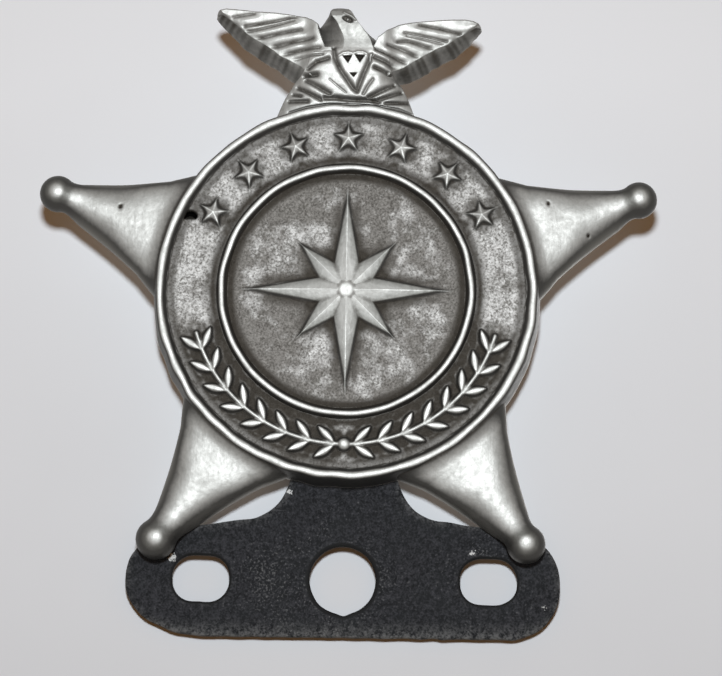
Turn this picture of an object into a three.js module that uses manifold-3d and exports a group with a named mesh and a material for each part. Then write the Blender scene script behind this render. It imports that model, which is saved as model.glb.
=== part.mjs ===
import * as THREE from 'three';
import { mergeVertices } from 'three/addons/utils/BufferGeometryUtils.js';
import Module from 'manifold-3d';

// License plate topper: a cast star with an eagle on its top point, screwed to a sheet steel
// bracket that bolts on at the plate's own two holes. Lengths are millimetres.
// Every piece is drawn in the face frame: x to the right, y up, z out of the face, with z = 0 on
// the back of the bracket and the origin midway between the two plate slots. The last group
// stands the face frame upright, so z out of the face becomes -Y and y becomes +Z.

const wasm = await Module();
wasm.setup();

// Bracket sizes
const sheetThickness = 1.6;
const slotSpacing = 63.5;
const slotLength = 14.3;
const slotHeight = 9.5;
const slotCorner = 4.2;
const centreHoleDiameter = 16;
const bracketWidth = 96;
const bracketDrop = 12.7;
const leftCornerRun = 18;
const rightCornerRun = 11;
const lowerCornerRise = 11.5;
const endCornerRun = 12;
const shoulderRise = 11.2;
const shoulderSlopeRun = 15;
const shoulderSlopeRise = 2.2;
const neckWidth = 22.4;
const neckFilletRise = 13.5;
const neckTopMargin = 8;

// Sizes of the disc of the casting, with heights above the casting's flat back
const discRise = 63.9;
const rimRadius = 41.5;
const skirtRun = 2;
const shoulderRun = 1;
const rimWidth = 1.8;
const rimHeight = 8;
const rimRound = 0.45;
const bandGround = 6.6;
const centreGround = 6.5;
const ringRadius = 27.7;
const ringWidth = 1.5;
const ringHeight = 7.9;
const reliefDraft = 0.45;
const frontWall = 2;
const sideWall = 3.3;
const cavityDraft = 0.6;

// Sizes of the four star points, each ending in a ball with a flat back
const pointAngles = [162, 18, 234, 306];
const ballReach = 68.9;
const ballRadius = 4.1;
const ballSeat = 3.3;
const pointRootSink = 3.5;
const neckSetback = 4.4;
const pointRootHalfWidth = 13.7;
const pointNeckHalfWidth = 3.85;
const pointFlare = 3;
const pointRootHeight = 6.5;
const pointNeckHeight = 5.9;
const pointCrownPower = 0.85;
const partingLand = 0.7;

// Sizes of the eagle, which rises from the rim
const wingReach = 30.6;
const eagleHeight = 24.4;
const wingHeight = 5.4;
const wingTrailHeight = 3.7;
const wingBulge = 2.4;
const featherDepth = 0.7;
const featherCount = 7;
const bodyHeight = 6.8;
const headHeight = 6.4;
const tailHeight = 5;
const tailFeatherDepth = 0.6;
const tailFeatherCount = 9;
const shieldWidth = 9;
const shieldLength = 9.6;
const shieldRise = 46.2;
const shieldOffset = 0.9;
const shieldProud = 0.7;
const shieldFlankShares = [0.9, 0.4];
const bodyDomePower = 2.6;

// Sizes of the raised ornament in the band and in the centre
const ornamentProud = 1.1;
const ornamentSink = 0.4;
const bandStarRadius = 3.1;
const bandStarWaistShare = 0.45;
const bandStarPoints = 5;
const bandStarCount = 7;
const bandStarFirst = 30;
const bandStarStep = 20;
const leafLength = 5;
const leafWidth = 2.1;
const leafPairs = 8;
const leafFirst = 277;
const leafStep = 9;
const leafLean = 38;
const leafOffset = 1.9;
const stemWidth = 0.8;
const stemProud = 0.65;
const knotRadius = 1.7;
const compassLong = 22;
const compassShort = 14.5;
const compassWaist = 4.6;
const compassPoints = 4;
const compassBossRadius = 2.6;
const compassProud = 1.5;

// Fasteners: two screws into bosses in the hollow back, each with a lock and a flat washer
const screwDrops = [30, 15];
const screwRadius = 2.3;
const screwGrip = 3.6;
const screwHeadRadius = 4.4;
const screwHeadHeight = 2.7;
const screwDomePower = 0.8;
const screwTipChamfer = 0.5;
const screwSlotWidth = 1.1;
const screwSlotDepth = 1.2;
const bossRadius = 5.2;
const bossHoleDepth = 4.3;
const threadClearance = 0.3;
const washerClearance = 0.3;
const flatWasherRadius = 5.6;
const flatWasherThickness = 0.9;
const lockWasherRadius = 4.5;
const lockWasherThickness = 1.2;
const lockWasherGap = 0.9;
const lockWasherSlant = 20;
const cutOverrun = 1;

// Facet counts
const discSegments = 84;
const screwSegments = 32;
const holeSegments = 24;
const knotSegments = 16;
const compassBossSegments = 20;
const ballSegments = 18;
const ballRings = 11;
const pointRows = 9;
const pointColumns = 13;
const leafSides = 8;
const domeSteps = 6;
const arcSteps = 4;

const rightAngle = Math.PI / 2;
const weldTolerance = 1e-5;
const backPlane = sheetThickness;
const discBaseRadius = rimRadius + skirtRun;
const discShoulderRadius = rimRadius + shoulderRun;
const bandRadius = (rimRadius + ringRadius) / 2;
const pointNeckReach = ballReach - neckSetback;
const cavityRoof = centreGround - frontWall;
const screwRises = screwDrops.map((drop) => discRise - drop);

function toSolid(geometry) {
  const bare = geometry.index ? geometry.toNonIndexed() : geometry.clone();
  bare.deleteAttribute('normal');
  bare.deleteAttribute('uv');
  const merged = mergeVertices(bare, weldTolerance);
  return new wasm.Manifold(new wasm.Mesh({
    numProp: 3,
    vertProperties: new Float32Array(merged.attributes.position.array),
    triVerts: new Uint32Array(merged.index.array),
  }));
}

function toGeometry(solid) {
  const mesh = solid.getMesh();
  const geometry = new THREE.BufferGeometry();
  geometry.setAttribute('position', new THREE.BufferAttribute(mesh.vertProperties, mesh.numProp));
  geometry.setIndex(new THREE.BufferAttribute(mesh.triVerts, 1));
  geometry.computeVertexNormals();
  return geometry;
}

function join(solids) {
  return solids.reduce((whole, next) => whole.add(next));
}

function plate(shape, thickness, z) {
  const geometry = new THREE.ExtrudeGeometry(shape, {
    depth: thickness, bevelEnabled: false, curveSegments: arcSteps,
  });
  geometry.translate(0, 0, z);
  return geometry;
}

// Turned piece whose axis is z through (x, y); the profile holds [radius, z] pairs
function turned(profile, x, y, segments) {
  const points = profile.map(([radius, z]) => new THREE.Vector2(radius, z));
  const geometry = new THREE.LatheGeometry(points, segments);
  geometry.rotateX(rightAngle);
  geometry.translate(x, y, 0);
  return geometry;
}

function cylinder(radius, low, high, x, y, segments) {
  return turned([[0, low], [radius, low], [radius, high], [0, high]], x, y, segments);
}

// Solid between a grid of points on the face and the flat back under it. Rows run along the
// first direction and columns along the second, counterclockwise seen from the front.
function reliefSlab(rows) {
  const rowCount = rows.length;
  const columnCount = rows[0].length;
  const positions = [];
  for (const row of rows) {
    for (const point of row) positions.push(point.x, point.y, point.z);
  }
  for (const row of rows) {
    for (const point of row) positions.push(point.x, point.y, 0);
  }
  const base = rowCount * columnCount;
  const at = (row, column) => row * columnCount + column;
  const index = [];
  const quad = (a, b, c, d) => index.push(a, b, c, a, c, d);
  for (let row = 0; row < rowCount - 1; row++) {
    for (let column = 0; column < columnCount - 1; column++) {
      const a = at(row, column);
      const b = at(row + 1, column);
      const c = at(row + 1, column + 1);
      const d = at(row, column + 1);
      quad(a, b, c, d);
      quad(base + d, base + c, base + b, base + a);
    }
  }
  for (let row = 0; row < rowCount - 1; row++) {
    const last = columnCount - 1;
    quad(at(row + 1, 0), at(row, 0), base + at(row, 0), base + at(row + 1, 0));
    quad(at(row, last), at(row + 1, last), base + at(row + 1, last), base + at(row, last));
  }
  for (let column = 0; column < columnCount - 1; column++) {
    const last = rowCount - 1;
    quad(at(0, column), at(0, column + 1), base + at(0, column + 1), base + at(0, column));
    quad(at(last, column + 1), at(last, column), base + at(last, column), base + at(last, column + 1));
  }
  const geometry = new THREE.BufferGeometry();
  geometry.setAttribute('position', new THREE.Float32BufferAttribute(positions, 3));
  geometry.setIndex(index);
  return geometry;
}

// Raised figure with one peak: the outline stands on the ground and rises in facets to the peak
function facetedFigure(outline, peak, low, land) {
  const positions = [peak.x, peak.y, peak.z, peak.x, peak.y, low];
  for (const point of outline) positions.push(point.x, point.y, land);
  for (const point of outline) positions.push(point.x, point.y, low);
  const count = outline.length;
  const index = [];
  for (let k = 0; k < count; k++) {
    const next = (k + 1) % count;
    const top = 2 + k;
    const topNext = 2 + next;
    const foot = 2 + count + k;
    const footNext = 2 + count + next;
    index.push(0, top, topNext, 1, footNext, foot);
    index.push(top, foot, footNext, top, footNext, topNext);
  }
  const geometry = new THREE.BufferGeometry();
  geometry.setAttribute('position', new THREE.Float32BufferAttribute(positions, 3));
  geometry.setIndex(index);
  return geometry;
}

function roundedSlot(x, y, width, height, corner) {
  const slot = new THREE.Path();
  const right = x + width / 2 - corner;
  const left = x - width / 2 + corner;
  const top = y + height / 2 - corner;
  const bottom = y - height / 2 + corner;
  slot.absarc(right, top, corner, rightAngle, 0, true);
  slot.absarc(right, bottom, corner, 0, -rightAngle, true);
  slot.absarc(left, bottom, corner, -rightAngle, -Math.PI, true);
  slot.absarc(left, top, corner, Math.PI, rightAngle, true);
  slot.closePath();
  return slot;
}

function roundHole(x, y, radius) {
  return roundedSlot(x, y, 2 * radius, 2 * radius, radius);
}

function bracketOutline() {
  const half = bracketWidth / 2;
  const lowerCentre = lowerCornerRise - bracketDrop;
  const neckHalf = neckWidth / 2;
  const slopeEnd = half - endCornerRun - shoulderSlopeRun;
  const slopeTop = shoulderRise + shoulderSlopeRise;
  const filletTop = slopeTop + neckFilletRise;
  const elbowX = neckHalf + shoulderSlopeRise / 2;
  const elbowY = slopeTop + shoulderSlopeRise / 2;
  const neckArcRise = Math.max(...screwRises) + neckTopMargin - neckHalf;
  const outline = new THREE.Shape();
  outline.moveTo(leftCornerRun - half, -bracketDrop);
  outline.lineTo(half - rightCornerRun, -bracketDrop);
  outline.absellipse(half - rightCornerRun, lowerCentre, rightCornerRun, lowerCornerRise, -rightAngle, 0);
  outline.absellipse(half - endCornerRun, 0, endCornerRun, shoulderRise, 0, rightAngle);
  outline.lineTo(slopeEnd, slopeTop);
  outline.quadraticCurveTo(elbowX, elbowY, neckHalf, filletTop);
  outline.lineTo(neckHalf, neckArcRise);
  outline.absarc(0, neckArcRise, neckHalf, 0, Math.PI);
  outline.lineTo(-neckHalf, filletTop);
  outline.quadraticCurveTo(-elbowX, elbowY, -slopeEnd, slopeTop);
  outline.lineTo(endCornerRun - half, shoulderRise);
  outline.absellipse(endCornerRun - half, 0, endCornerRun, shoulderRise, rightAngle, Math.PI);
  const leftCorner = leftCornerRun - half;
  outline.absellipse(leftCorner, lowerCentre, leftCornerRun, lowerCornerRise, Math.PI, 3 * rightAngle);
  return outline;
}

function bracket() {
  const outline = bracketOutline();
  const slotAt = slotSpacing / 2;
  outline.holes.push(roundedSlot(-slotAt, 0, slotLength, slotHeight, slotCorner));
  outline.holes.push(roundedSlot(slotAt, 0, slotLength, slotHeight, slotCorner));
  outline.holes.push(roundHole(0, 0, centreHoleDiameter / 2));
  for (const rise of screwRises) {
    outline.holes.push(roundHole(0, rise, screwRadius + threadClearance));
  }
  return toGeometry(toSolid(plate(outline, sheetThickness, 0)));
}

// Disc with its raised rim and inner ring, drawn over the casting's back as one turned profile
function discBody() {
  const rimIn = rimRadius - rimWidth / 2;
  const ringIn = ringRadius - ringWidth / 2;
  const ringOut = ringRadius + ringWidth / 2;
  const profile = [
    [0, 0],
    [discBaseRadius, 0],
    [discShoulderRadius, rimHeight - rimWidth / 2],
    [rimRadius + rimRound, rimHeight],
    [rimRadius - rimRound, rimHeight],
    [rimIn, bandGround + reliefDraft],
    [rimIn - reliefDraft, bandGround],
    [ringOut + reliefDraft, bandGround],
    [ringRadius + rimRound / 2, ringHeight],
    [ringRadius - rimRound / 2, ringHeight],
    [ringIn - reliefDraft, centreGround],
    [0, centreGround],
  ];
  return turned(profile, 0, 0, discSegments);
}

function discCavity() {
  const mouth = discBaseRadius - sideWall;
  const profile = [
    [0, -cutOverrun],
    [mouth, -cutOverrun],
    [mouth, 0],
    [mouth - cavityDraft, cavityRoof],
    [0, cavityRoof],
  ];
  return turned(profile, 0, 0, discSegments);
}

// Half width of a star point at a distance from the disc's centre: it narrows in a line from the
// rim to the neck, with a cubic flare towards the rim, and keeps the neck's width up to the ball
function pointHalfWidth(reach) {
  const share = Math.max(0, (pointNeckReach - reach) / (pointNeckReach - rimRadius));
  const taper = pointRootHalfWidth - pointNeckHalfWidth - pointFlare;
  return pointNeckHalfWidth + taper * share + pointFlare * share ** 3;
}

function starPoint(angle) {
  const turn = THREE.MathUtils.degToRad(angle);
  const rootReach = rimRadius - pointRootSink;
  const along = new THREE.Vector2(Math.cos(turn), Math.sin(turn));
  const rows = [];
  for (let row = 0; row < pointRows; row++) {
    const share = row / (pointRows - 1);
    const reach = rootReach + (ballReach - ballRadius / 2 - rootReach) * share;
    const halfWidth = pointHalfWidth(reach);
    const height = pointRootHeight + (pointNeckHeight - pointRootHeight) * share;
    const points = [];
    for (let column = 0; column < pointColumns; column++) {
      const swing = Math.PI * column / (pointColumns - 1);
      const across = -halfWidth * Math.cos(swing);
      const z = partingLand + (height - partingLand) * Math.sin(swing) ** pointCrownPower;
      const x = along.x * reach - along.y * across;
      const y = along.y * reach + along.x * across;
      points.push(new THREE.Vector3(x, y, z));
    }
    rows.push(points);
  }
  const ball = new THREE.SphereGeometry(ballRadius, ballSegments, ballRings);
  ball.rotateX(rightAngle);
  ball.translate(along.x * ballReach, along.y * ballReach, ballSeat);
  return toSolid(reliefSlab(rows)).add(toSolid(ball));
}

// A point of the eagle's outline from shares of the wing's reach and of the eagle's height
function eaglePoint([xShare, yShare]) {
  return new THREE.Vector2(xShare * wingReach, rimRadius + yShare * eagleHeight);
}

// Ends of the feathers along a wing's trailing edge, from the wing's tip to its foot
const leftTrailShares = [
  [-1, 0.93], [-0.965, 0.86], [-0.905, 0.79], [-0.83, 0.68],
  [-0.72, 0.58], [-0.6, 0.48], [-0.47, 0.36], [-0.39, 0.29],
];
const rightTrailShares = [
  [0.98, 0.85], [0.95, 0.79], [0.89, 0.7], [0.82, 0.61],
  [0.71, 0.52], [0.6, 0.44], [0.49, 0.36], [0.37, 0.3],
];
const leftShoulderShares = [[-0.2, 0.81], [-0.12, 0.3]];
const rightShoulderShares = [[0.18, 0.7], [0.1, 0.3]];
const alongShares = [0, 0.12, 0.35, 0.6, 0.82, 0.93, 1];
const ridgeFadeShare = 1 / 3;
const footFallShare = 0.6;
const bulgePowers = { fade: 1.5, skew: 0.6, crown: 0.8 };

// One wing: rows run along the feathers from the shoulder to the trailing edge, and v crosses
// them from the leading edge to the foot. The left wing's rows are turned round to face out.
function wing(trailShares, shoulderShares, side) {
  const trail = new THREE.SplineCurve(trailShares.map(eaglePoint));
  const [shoulder, foot] = shoulderShares.map(eaglePoint);
  const across = featherCount * 2;
  const rows = [];
  for (let row = 0; row <= across; row++) {
    const v = row / across;
    const start = shoulder.clone().lerp(foot, v);
    const end = trail.getPoint(v);
    const points = alongShares.map((u) => {
      const place = start.clone().lerp(end, u);
      const bulge = Math.sin(Math.PI * u ** bulgePowers.skew) ** bulgePowers.crown;
      place.y += wingBulge * (1 - v) ** bulgePowers.fade * bulge;
      const crown = wingHeight + (wingTrailHeight - wingHeight) * Math.max(u, footFallShare * v);
      const ridge = featherDepth * Math.cos(2 * Math.PI * featherCount * v) * Math.min(1, u / ridgeFadeShare);
      const edge = u === 1 || row === 0 ? 0 : 1;
      return new THREE.Vector3(place.x, place.y, partingLand + edge * (crown - partingLand - ridge / 2));
    });
    rows.push(side < 0 ? points.reverse() : points);
  }
  return toSolid(reliefSlab(rows));
}

// Left side, right side and crest of the bird's body, with each row's height share, tail to head
const bodyRowShares = [
  [-0.54, 0.48, 0, -0.06], [-0.49, 0.445, 0, 0.1], [-0.45, 0.41, 0, 0.18], [-0.385, 0.345, 0.01, 0.29],
  [-0.33, 0.33, 0.03, 0.39], [-0.29, 0.31, 0.03, 0.51], [-0.24, 0.27, 0.03, 0.63], [-0.21, 0.19, 0.02, 0.72],
  [-0.2, 0.09, 0, 0.82], [-0.18, 0.06, -0.03, 0.88], [-0.162, 0.03, -0.06, 0.94],
  [-0.13, -0.015, -0.07, 0.975],
];

const tailEndShare = 0.3125;
const neckShare = 0.6;

function body() {
  const columnCount = tailFeatherCount * 2 + 1;
  const rows = bodyRowShares.map(([left, right, crest, rise], order) => {
    const lift = order / (bodyRowShares.length - 1);
    const tail = Math.max(0, 1 - lift / tailEndShare);
    const head = Math.max(0, (lift - neckShare) / (1 - neckShare));
    const height = bodyHeight + (tailHeight - bodyHeight) * tail + (headHeight - bodyHeight) * head;
    const points = [];
    for (let column = 0; column < columnCount; column++) {
      const s = 2 * column / (columnCount - 1) - 1;
      const reachShare = s < 0 ? crest + (crest - left) * s : crest + (right - crest) * s;
      const place = eaglePoint([reachShare, rise]);
      const ridge = tail * tailFeatherDepth * (column % 2);
      const dome = (1 - Math.abs(s) ** bodyDomePower) * (height - partingLand);
      points.push(new THREE.Vector3(place.x, place.y, partingLand + Math.max(0, dome - ridge)));
    }
    return points;
  });
  return toSolid(reliefSlab(rows.reverse()));
}

function shield() {
  const half = shieldWidth / 2;
  const top = shieldRise + shieldLength;
  const flankRun = half * shieldFlankShares[0];
  const flankRise = shieldRise + shieldLength * shieldFlankShares[1];
  const outline = new THREE.Shape();
  outline.moveTo(shieldOffset, shieldRise);
  outline.quadraticCurveTo(shieldOffset + flankRun, flankRise, shieldOffset + half, top);
  outline.quadraticCurveTo(shieldOffset, top - shieldProud, shieldOffset - half, top);
  outline.quadraticCurveTo(shieldOffset - flankRun, flankRise, shieldOffset, shieldRise);
  return toSolid(plate(outline, shieldProud * 2, bodyHeight - shieldProud));
}

function starOutline(x, y, outer, inner, count, turn) {
  const outline = [];
  for (let k = 0; k < 2 * count; k++) {
    const radius = k % 2 ? inner : outer;
    const angle = turn + Math.PI * k / count;
    outline.push(new THREE.Vector2(x + radius * Math.cos(angle), y + radius * Math.sin(angle)));
  }
  return outline;
}

function bandStars() {
  const stars = [];
  for (let k = 0; k < bandStarCount; k++) {
    const angle = THREE.MathUtils.degToRad(bandStarFirst + bandStarStep * k);
    const x = bandRadius * Math.cos(angle);
    const y = bandRadius * Math.sin(angle);
    const waist = bandStarRadius * bandStarWaistShare;
    const outline = starOutline(x, y, bandStarRadius, waist, bandStarPoints, angle);
    const peak = new THREE.Vector3(x, y, bandGround + ornamentProud);
    stars.push(toSolid(facetedFigure(outline, peak, bandGround - ornamentSink, bandGround + ornamentSink)));
  }
  return stars;
}

function leaf(x, y, turn) {
  const outline = [];
  for (let k = 0; k < leafSides; k++) {
    const swing = 2 * Math.PI * k / leafSides;
    const along = leafLength / 2 * Math.cos(swing);
    const across = leafWidth / 2 * Math.sin(swing);
    const outX = x + along * Math.cos(turn) - across * Math.sin(turn);
    const outY = y + along * Math.sin(turn) + across * Math.cos(turn);
    outline.push(new THREE.Vector2(outX, outY));
  }
  const peak = new THREE.Vector3(x, y, bandGround + ornamentProud);
  return toSolid(facetedFigure(outline, peak, bandGround - ornamentSink, bandGround + ornamentSink / 2));
}

// Two laurel branches that start at the knot at the bottom and climb both sides of the band
function laurel() {
  const low = bandGround - ornamentSink;
  const pieces = [cylinder(knotRadius, low, bandGround + ornamentProud, 0, -bandRadius, knotSegments)];
  const stemSpan = THREE.MathUtils.degToRad(leafStep * leafPairs);
  const stemStart = THREE.MathUtils.degToRad(leafFirst - leafStep);
  const stem = new THREE.Shape();
  const stemEnd = stemStart + stemSpan;
  stem.absarc(0, 0, bandRadius + stemWidth / 2, Math.PI - stemEnd, stemEnd);
  stem.absarc(0, 0, bandRadius - stemWidth / 2, stemEnd, Math.PI - stemEnd, true);
  pieces.push(plate(stem, ornamentSink + stemProud, low));
  const solids = pieces.map(toSolid);
  for (let k = 0; k < leafPairs; k++) {
    const climb = THREE.MathUtils.degToRad(leafFirst + leafStep * k);
    for (const mirror of [1, -1]) {
      for (const edge of [1, -1]) {
        const reach = bandRadius + edge * leafOffset;
        const heading = climb + rightAngle - edge * THREE.MathUtils.degToRad(leafLean);
        const x = mirror * reach * Math.cos(climb);
        const y = reach * Math.sin(climb);
        solids.push(leaf(x, y, mirror > 0 ? heading : Math.PI - heading));
      }
    }
  }
  return solids;
}

function compass() {
  const low = centreGround - ornamentSink;
  const land = centreGround + ornamentSink / 2;
  const peak = new THREE.Vector3(0, 0, centreGround + compassProud);
  const diagonal = starOutline(0, 0, compassShort, compassWaist, compassPoints, rightAngle / 2);
  const upright = starOutline(0, 0, compassLong, compassWaist, compassPoints, 0);
  return [
    toSolid(facetedFigure(diagonal, peak, low, land)),
    toSolid(facetedFigure(upright, peak, low, land)),
    toSolid(cylinder(compassBossRadius, low, centreGround + compassProud, 0, 0, compassBossSegments)),
  ];
}

function casting() {
  const trim = toSolid(cylinder(rimRadius, -cutOverrun, rimHeight + cutOverrun, 0, 0, discSegments));
  const span = 2 * (ballReach + ballRadius + cutOverrun);
  const belowBack = new THREE.BoxGeometry(span, span, ballRadius);
  belowBack.translate(0, 0, -ballRadius / 2);
  const outer = join([
    ...pointAngles.map(starPoint),
    wing(leftTrailShares, leftShoulderShares, -1),
    wing(rightTrailShares, rightShoulderShares, 1),
    body(),
    shield(),
  ]).subtract(trim).subtract(toSolid(belowBack));
  const relief = join([...bandStars(), ...laurel(), ...compass()]);
  const shell = outer.add(toSolid(discBody())).add(relief).subtract(toSolid(discCavity()));
  const bosses = screwDrops.map((drop) => toSolid(
    cylinder(bossRadius, 0, cavityRoof + frontWall / 2, 0, -drop, screwSegments)));
  const holes = screwDrops.map((drop) => toSolid(
    cylinder(screwRadius + threadClearance, -cutOverrun, bossHoleDepth, 0, -drop, holeSegments)));
  const whole = shell.add(join(bosses)).subtract(join(holes));
  const geometry = toGeometry(whole);
  geometry.translate(0, discRise, backPlane);
  return geometry;
}

function screw(rise) {
  const headFace = -flatWasherThickness - lockWasherThickness;
  const tip = backPlane + screwGrip;
  const profile = [[0, headFace - screwHeadHeight]];
  for (let k = 1; k < domeSteps; k++) {
    const swing = rightAngle * k / domeSteps;
    const dome = Math.cos(swing) ** screwDomePower;
    profile.push([screwHeadRadius * Math.sin(swing), headFace - screwHeadHeight * dome]);
  }
  profile.push([screwHeadRadius, headFace]);
  profile.push([screwRadius, headFace]);
  profile.push([screwRadius, tip - screwTipChamfer]);
  profile.push([screwRadius - screwTipChamfer, tip]);
  profile.push([0, tip]);
  const slotSpan = 2 * (screwHeadRadius + cutOverrun);
  const slot = new THREE.BoxGeometry(slotSpan, screwSlotWidth, 2 * screwSlotDepth);
  slot.translate(0, rise, headFace - screwHeadHeight);
  return toGeometry(toSolid(turned(profile, 0, rise, screwSegments)).subtract(toSolid(slot)));
}

function washer(outer, inner, low, high, rise) {
  const profile = [[inner, low], [outer, low], [outer, high], [inner, high], [inner, low]];
  return turned(profile, 0, rise, screwSegments);
}

function lockWasher(rise) {
  const high = -flatWasherThickness;
  const low = high - lockWasherThickness;
  const ring = washer(lockWasherRadius, screwRadius + washerClearance, low, high, rise);
  const splitHeight = lockWasherThickness + 2 * cutOverrun;
  const split = new THREE.BoxGeometry(lockWasherGap, 2 * lockWasherRadius, splitHeight);
  split.rotateY(THREE.MathUtils.degToRad(lockWasherSlant));
  split.translate(0, rise + lockWasherRadius, (low + high) / 2);
  return toGeometry(toSolid(ring).subtract(toSolid(split)));
}

const castMetal = new THREE.MeshStandardMaterial({ color: 0xa7a5a0, roughness: 0.38, metalness: 1 });
const blackPaint = new THREE.MeshStandardMaterial({ color: 0x2c2d31, roughness: 0.55, metalness: 0 });
const screwSteel = new THREE.MeshStandardMaterial({ color: 0x8b8c8c, roughness: 0.4, metalness: 1 });

function mesh(name, geometry, material) {
  const piece = new THREE.Mesh(geometry, material);
  piece.name = name;
  return piece;
}

const faceFrame = new THREE.Group();
faceFrame.rotation.x = rightAngle;
faceFrame.add(mesh('star_casting', casting(), castMetal));
faceFrame.add(mesh('plate_bracket', bracket(), blackPaint));
const screwNames = ['lower', 'upper'];
screwRises.forEach((rise, order) => {
  const place = screwNames[order];
  const flat = washer(flatWasherRadius, screwRadius + washerClearance, -flatWasherThickness, 0, rise);
  faceFrame.add(mesh(`${place}_screw`, screw(rise), screwSteel));
  faceFrame.add(mesh(`${place}_lock_washer`, lockWasher(rise), screwSteel));
  faceFrame.add(mesh(`${place}_flat_washer`, flat, screwSteel));
});

const topper = new THREE.Group();
topper.add(faceFrame);
export default topper;
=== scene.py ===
import bmesh
import bpy
import numpy as np
from mathutils import Matrix, Vector
from mathutils.geometry import delaunay_2d_cdt


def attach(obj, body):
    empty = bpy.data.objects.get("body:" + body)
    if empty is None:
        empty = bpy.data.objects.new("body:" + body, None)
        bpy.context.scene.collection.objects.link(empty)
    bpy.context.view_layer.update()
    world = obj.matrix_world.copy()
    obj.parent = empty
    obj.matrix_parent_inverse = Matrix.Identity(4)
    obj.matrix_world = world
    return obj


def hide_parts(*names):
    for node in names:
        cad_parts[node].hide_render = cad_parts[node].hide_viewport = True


# License plate topper: a cast pewter-coloured star with an eagle on its top point, screwed to a
# black sheet steel bracket.
# Shapes are worked out in millimetres in the face frame: x to the right, y up, z out of the face,
# with z = 0 on the bracket's back and the origin midway between the plate slots. The casting's
# own shapes are measured from the disc's centre and from the casting's flat back.

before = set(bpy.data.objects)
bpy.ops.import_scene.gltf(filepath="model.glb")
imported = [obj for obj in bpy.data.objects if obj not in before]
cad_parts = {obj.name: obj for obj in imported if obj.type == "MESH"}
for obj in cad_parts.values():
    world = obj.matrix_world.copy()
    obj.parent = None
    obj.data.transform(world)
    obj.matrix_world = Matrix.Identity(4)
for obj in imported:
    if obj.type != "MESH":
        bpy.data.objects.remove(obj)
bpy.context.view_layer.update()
print("frame loaded:", len(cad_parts), "nodes")

millimetre = 0.001
discRise = 63.9  # disc's centre above the origin
backPlane = 1.6  # the casting's back lies on the bracket's front


def toFrame(x, y, z):
    # face frame in millimetres to the row frame in metres: (x, y, z) becomes (x, -z, y)
    return np.stack(np.broadcast_arrays(x, -z, y), axis=-1).reshape(-1, 3) * millimetre


def onCasting(x, y, z):
    return toFrame(x, y + discRise, z + backPlane)


def smoothStep(value):
    value = np.clip(value, 0, 1)
    return value * value * (3 - 2 * value)


def bell(distance, width):
    return np.exp(-(distance / width) ** 2)


def unevenness(x, y, span, seed):
    # slow waviness of a casting: the sum of cosine waves about span long in random directions
    waves = np.random.default_rng(seed).random((10, 3))
    total = np.zeros(np.broadcast(x, y).shape)
    for heading, phase, size in waves:
        turn = 2 * np.pi * heading
        rate = 2 * np.pi * (0.6 + 0.8 * size) / span
        total += np.cos((x * np.cos(turn) + y * np.sin(turn)) * rate + 2 * np.pi * phase)
    return total / np.sqrt(len(waves))


def lineDistance(x, y, line):
    # distance from each point to the nearest segment of a polyline
    best = np.full(np.broadcast(x, y).shape, np.inf)
    line = np.asarray(line, dtype=float)
    for start, end in zip(line[:-1], line[1:]):
        run = end - start
        share = np.clip(((x - start[0]) * run[0] + (y - start[1]) * run[1]) / (run @ run), 0, 1)
        best = np.minimum(best, np.hypot(x - start[0] - share * run[0], y - start[1] - share * run[1]))
    return best


def alongLine(line, shares):
    # points of a polyline at shares of its length
    line = np.asarray(line, dtype=float)
    lengths = np.r_[0, np.cumsum(np.hypot(*np.diff(line, axis=0).T))]
    at = np.asarray(shares) * lengths[-1]
    return np.interp(at, lengths, line[:, 0]), np.interp(at, lengths, line[:, 1])


def fullTurn(count):
    return 2 * np.pi * np.arange(count) / count


def roundedPath(corners, step, closed=True):
    # polyline through corners given as x, y and fillet reach: each fillet is the quadratic curve
    # from a point that far before the corner to one that far after it, and straight runs are cut
    # into steps of about the given length
    corners = np.asarray(corners, dtype=float)
    filletShares = np.linspace(0, 1, 7)[:-1, None]
    pieces, ends = [], []
    for k, (x, y, reach) in enumerate(corners):
        here = np.array([x, y])
        if not closed and k in (0, len(corners) - 1):
            reach = 0
        before = corners[k - 1, :2] - here
        after = corners[(k + 1) % len(corners), :2] - here
        begin = here + before / max(np.hypot(*before), 1e-9) * reach
        finish = here + after / max(np.hypot(*after), 1e-9) * reach
        ends.append((begin, finish))
        share = filletShares if reach > 0 else filletShares[:0]
        pieces.append((1 - share) ** 2 * begin + 2 * share * (1 - share) * here + share ** 2 * finish)
    path = []
    for k, (begin, finish) in enumerate(ends):
        path.append(pieces[k])
        if closed or k < len(ends) - 1:
            run = ends[(k + 1) % len(ends)][0] - finish
            steps = max(1, int(np.ceil(np.hypot(*run) / step)))
            path.append(finish + run * np.linspace(0, 1, steps, endpoint=False)[:, None])
        else:
            path.append(finish[None])
    return np.concatenate(path)


def gridFaces(rowCount, columnCount, wrapRows=False, wrapColumns=False):
    rows = np.arange(rowCount if wrapRows else rowCount - 1)[:, None]
    columns = np.arange(columnCount if wrapColumns else columnCount - 1)[None, :]
    nextRows = (rows + 1) % rowCount
    nextColumns = (columns + 1) % columnCount
    corners = [
        rows * columnCount + columns, nextRows * columnCount + columns,
        nextRows * columnCount + nextColumns, rows * columnCount + nextColumns,
    ]
    return np.stack(np.broadcast_arrays(*corners), axis=-1).reshape(-1, 4)


def fanFaces(ring, centre, atEnd):
    # triangles from a ring of a grid to one point, turned to match the first or the last row
    pair = (np.roll(ring, -1), ring) if atEnd else (ring, np.roll(ring, -1))
    return np.stack([pair[0], pair[1], np.full(len(ring), centre)], axis=-1)


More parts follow.
